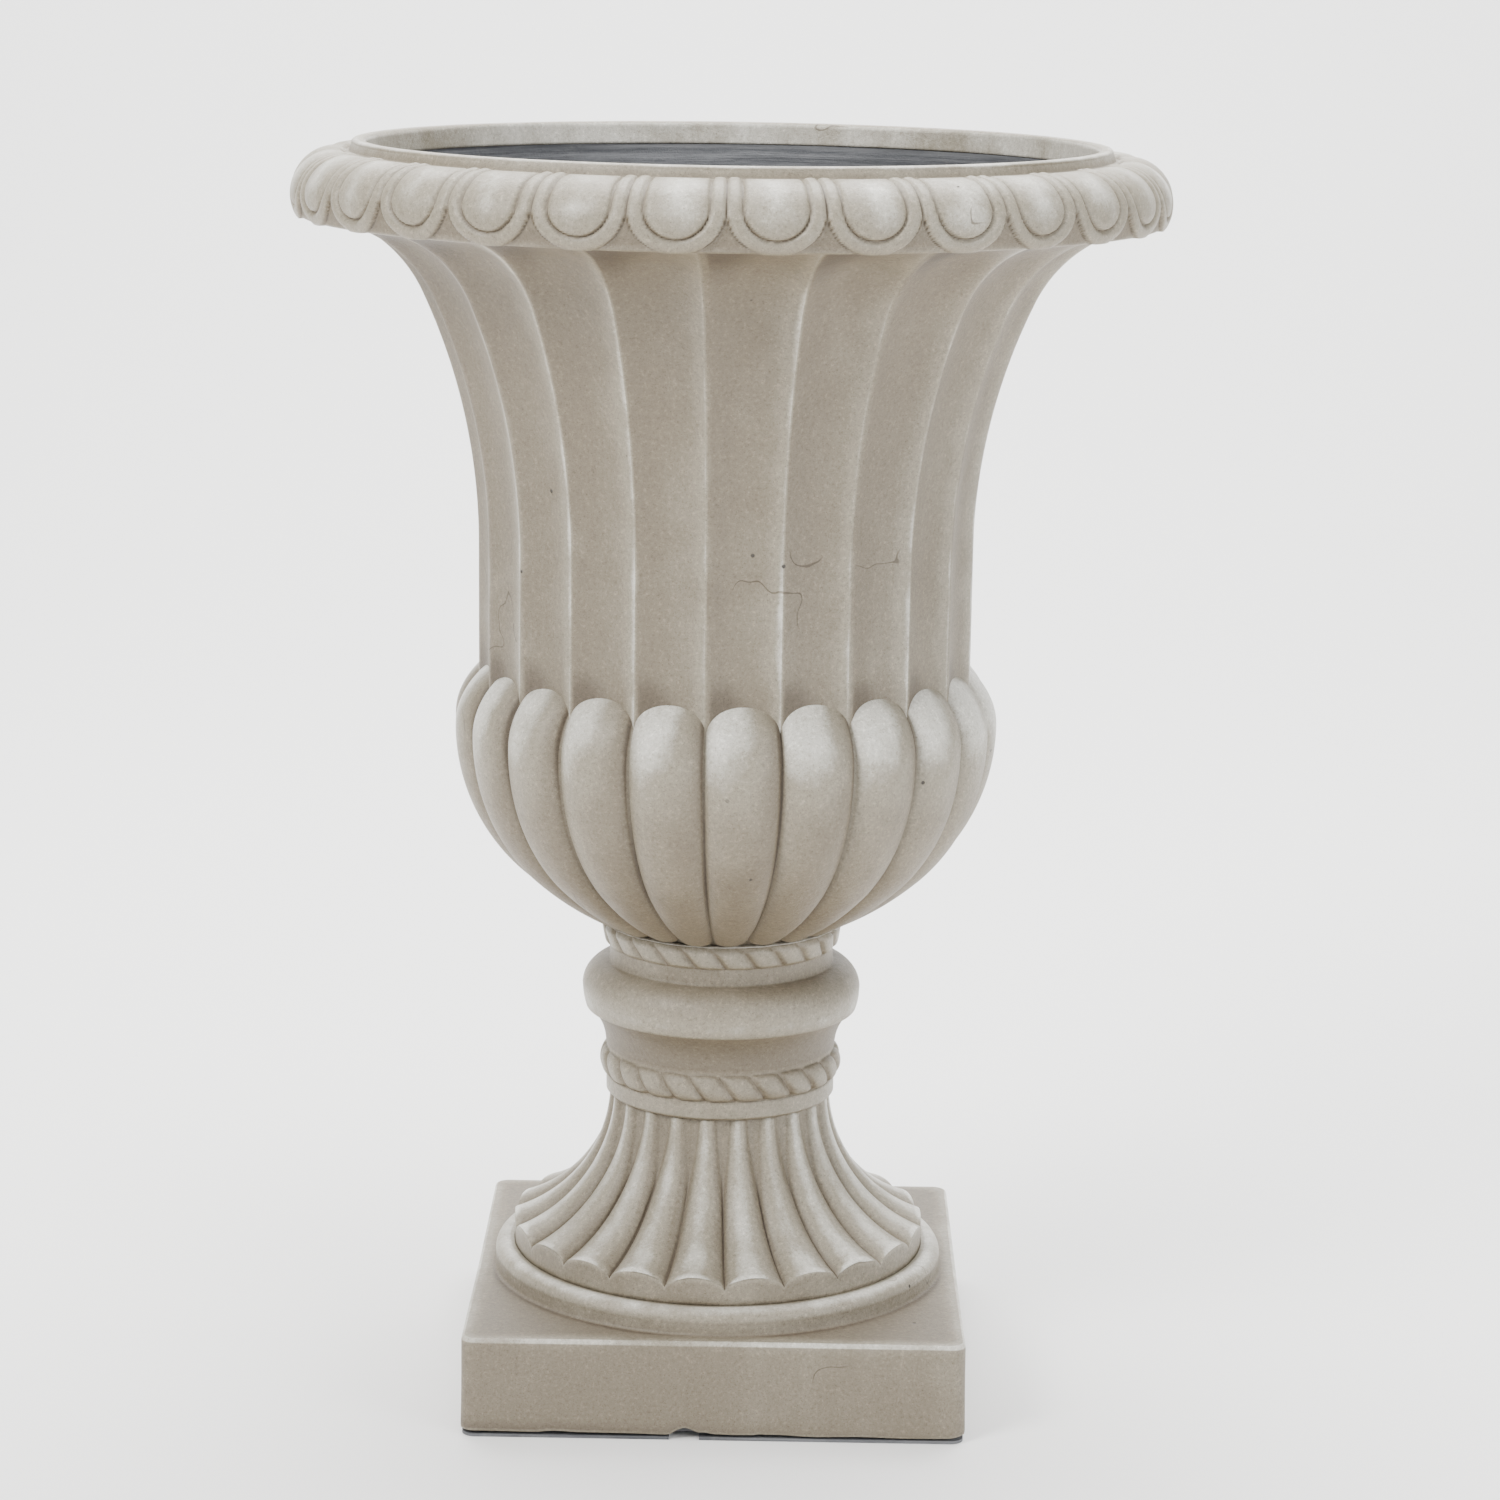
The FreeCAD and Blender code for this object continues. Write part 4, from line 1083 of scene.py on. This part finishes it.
def threaded_rod():
    """The tie rod with its thread cut as one helix."""
    low, high = low_of("tie_rod"), high_of("tie_rod")
    bearing = bearing_row(ROD_SIDES)
    z = np.arange(low + ROD_CHAMFER, high - ROD_CHAMFER, THREAD_PITCH / 6)[:, None]
    phase = (z / THREAD_PITCH - bearing / (2 * math.pi)) % 1
    thread = THREAD_CREST - THREAD_DEPTH * np.abs(2 * phase - 1)
    foot_end = np.broadcast_to([[0.05], [ROD_END]], (2, ROD_SIDES))
    radius = np.concatenate([foot_end, thread, foot_end[::-1]])
    height = np.concatenate([[[low], [low]], z, [[high], [high]]])
    return ring_mesh(radius, height, bearing, 0.0)


# ------------------------------------------------------------------------------------- build
STONE = ivory_stone()
BACKING = raw_backing()
MORTAR = mortar("mortar", (0.16, 0.14, 0.11), (0.30, 0.27, 0.22))
PALE_MORTAR = mortar("pale_mortar", (0.30, 0.27, 0.22), (0.55, 0.52, 0.46))
STEEL = steel()
RUBBER = rubber()

piece("bowl_casting", merged([gadroons(), bell()]), STONE, "root", ["bowl_face"])
piece("egg_rim", rim(), STONE, "root")
piece("bowl_floor", bowl_floor(), STONE, "root")
piece("bowl_lining", lining(), BACKING, "root", ["bowl_backing"])
piece("floor_screed", floor_screed(), BACKING, "root", ["bowl_screed"])
piece("turned_stem", stem(), STONE, "root", ["stem"])
piece("mortar_bead", bowl_bead(), PALE_MORTAR, "root", ["bowl_bed"])
piece("reeded_foot", foot(), STONE, "root", ["foot"])
piece("square_plinth", plinth(), STONE, "root", ["plinth_face"])
piece("threaded_rod", threaded_rod(), STEEL, "root", ["tie_rod"])

# The nodes that show as their own solids get these materials.
FINISH = {
    "stem_bed": MORTAR, "foot_bed": MORTAR, "plinth_backing": BACKING,
    "upper_nut": STEEL, "upper_washer": STEEL, "lower_nut": STEEL, "lower_washer": STEEL,
    "clamp_bar": STEEL, "sealing_washer": RUBBER, "drain_plug": RUBBER,
}
for node, material in FINISH.items():
    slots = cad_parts[node].data.materials
    if len(slots):
        slots[0] = material
    else:
        slots.append(material)


# ------------------------------------------------------------------------------ stage, lights
def stage_material(name, color):
    """Matte paper with hardly any cloudiness."""
    n = Nodes(name)
    cloud = n.noise(3, 2, 0.5)
    shade = n.mix(cloud, color, tuple(c * 0.985 for c in color))
    return n.finish(shade, 0.9, specular=0.1)


def studio():
    """A pale floor that curves up into a backdrop."""
    width, depth, back, tall, bend = 30.0, 30.0, 3.6, 6.0, 1.6
    points = [(-depth, 0.0), (back - bend, 0.0)]
    for step in range(1, 12):
        angle = math.radians(-90 + 90 * step / 12)
        points.append((back - bend + bend * math.cos(angle), bend + bend * math.sin(angle)))
    points += [(back, bend), (back, tall)]
    mesh = bpy.data.meshes.new("studio")
    verts = [(side * width, y, z) for y, z in points for side in (-1, 1)]
    faces = [(2 * i, 2 * i + 1, 2 * i + 3, 2 * i + 2) for i in range(len(points) - 1)]
    mesh.from_pydata(verts, [], faces)
    for face in mesh.polygons:
        face.use_smooth = True
    thing = bpy.data.objects.new("studio", mesh)
    bpy.context.scene.collection.objects.link(thing)
    mesh.materials.append(stage_material("studio_paper", (0.90, 0.90, 0.895)))


def area_light(name, spot, target, size, power, color=(1, 1, 1)):
    """A rectangular lamp at a spot, turned to look at its target."""
    lamp = bpy.data.lights.new(name, "AREA")
    lamp.shape = "RECTANGLE"
    lamp.size, lamp.size_y = size
    lamp.energy = power
    lamp.color = color
    thing = bpy.data.objects.new(name, lamp)
    thing.location = spot
    way = np.array(target) - np.array(spot)
    thing.rotation_euler = (
        math.atan2(math.hypot(way[0], way[1]), -way[2]),
        0,
        math.atan2(-way[0], way[1]),
    )
    bpy.context.scene.collection.objects.link(thing)


studio()
area_light("key", (-1.9, -1.8, 2.3), (0, 0, 0.45), (1.1, 1.1), 112, (1.0, 0.985, 0.96))
area_light("fill", (2.3, -1.9, 1.3), (0, 0, 0.4), (1.5, 1.5), 58, (0.98, 0.99, 1.0))
area_light("top", (0.1, 0.2, 2.9), (0, 0, 0.5), (2.2, 2.2), 120)
area_light("backdrop", (0.0, 1.8, 3.4), (0, 2.8, 0.0), (4.0, 2.0), 260)
world = bpy.data.worlds.new("soft_room")
world.use_nodes = True
world.node_tree.nodes["Background"].inputs["Color"].default_value = (1.0, 0.995, 0.98, 1.0)
world.node_tree.nodes["Background"].inputs["Strength"].default_value = 0.55
bpy.context.scene.world = world

# The camera stands in front, a little right of the middle and above the rim, and looks down.
CAMERA_SPOT = (0.0265, -2.3702, 0.9001)
CAMERA_DOWN = 12.115
CAMERA_PAN = 0.26
CAMERA_ROLL = 0.87
FOCAL_PIXELS = 3936.0
FRAME_PIXELS = 1500.0
lens = bpy.data.cameras.new("camera")
lens.sensor_width = 36.0
lens.lens = FOCAL_PIXELS / FRAME_PIXELS * lens.sensor_width
camera = bpy.data.objects.new("camera", lens)
bpy.context.scene.collection.objects.link(camera)
aim = Matrix.Rotation(math.radians(CAMERA_PAN), 4, "Z")
aim = aim @ Matrix.Rotation(math.radians(90 - CAMERA_DOWN), 4, "X")
aim = aim @ Matrix.Rotation(math.radians(CAMERA_ROLL), 4, "Z")
camera.matrix_world = Matrix.Translation(CAMERA_SPOT) @ aim
bpy.context.scene.camera = camera

bpy.context.view_layer.update()
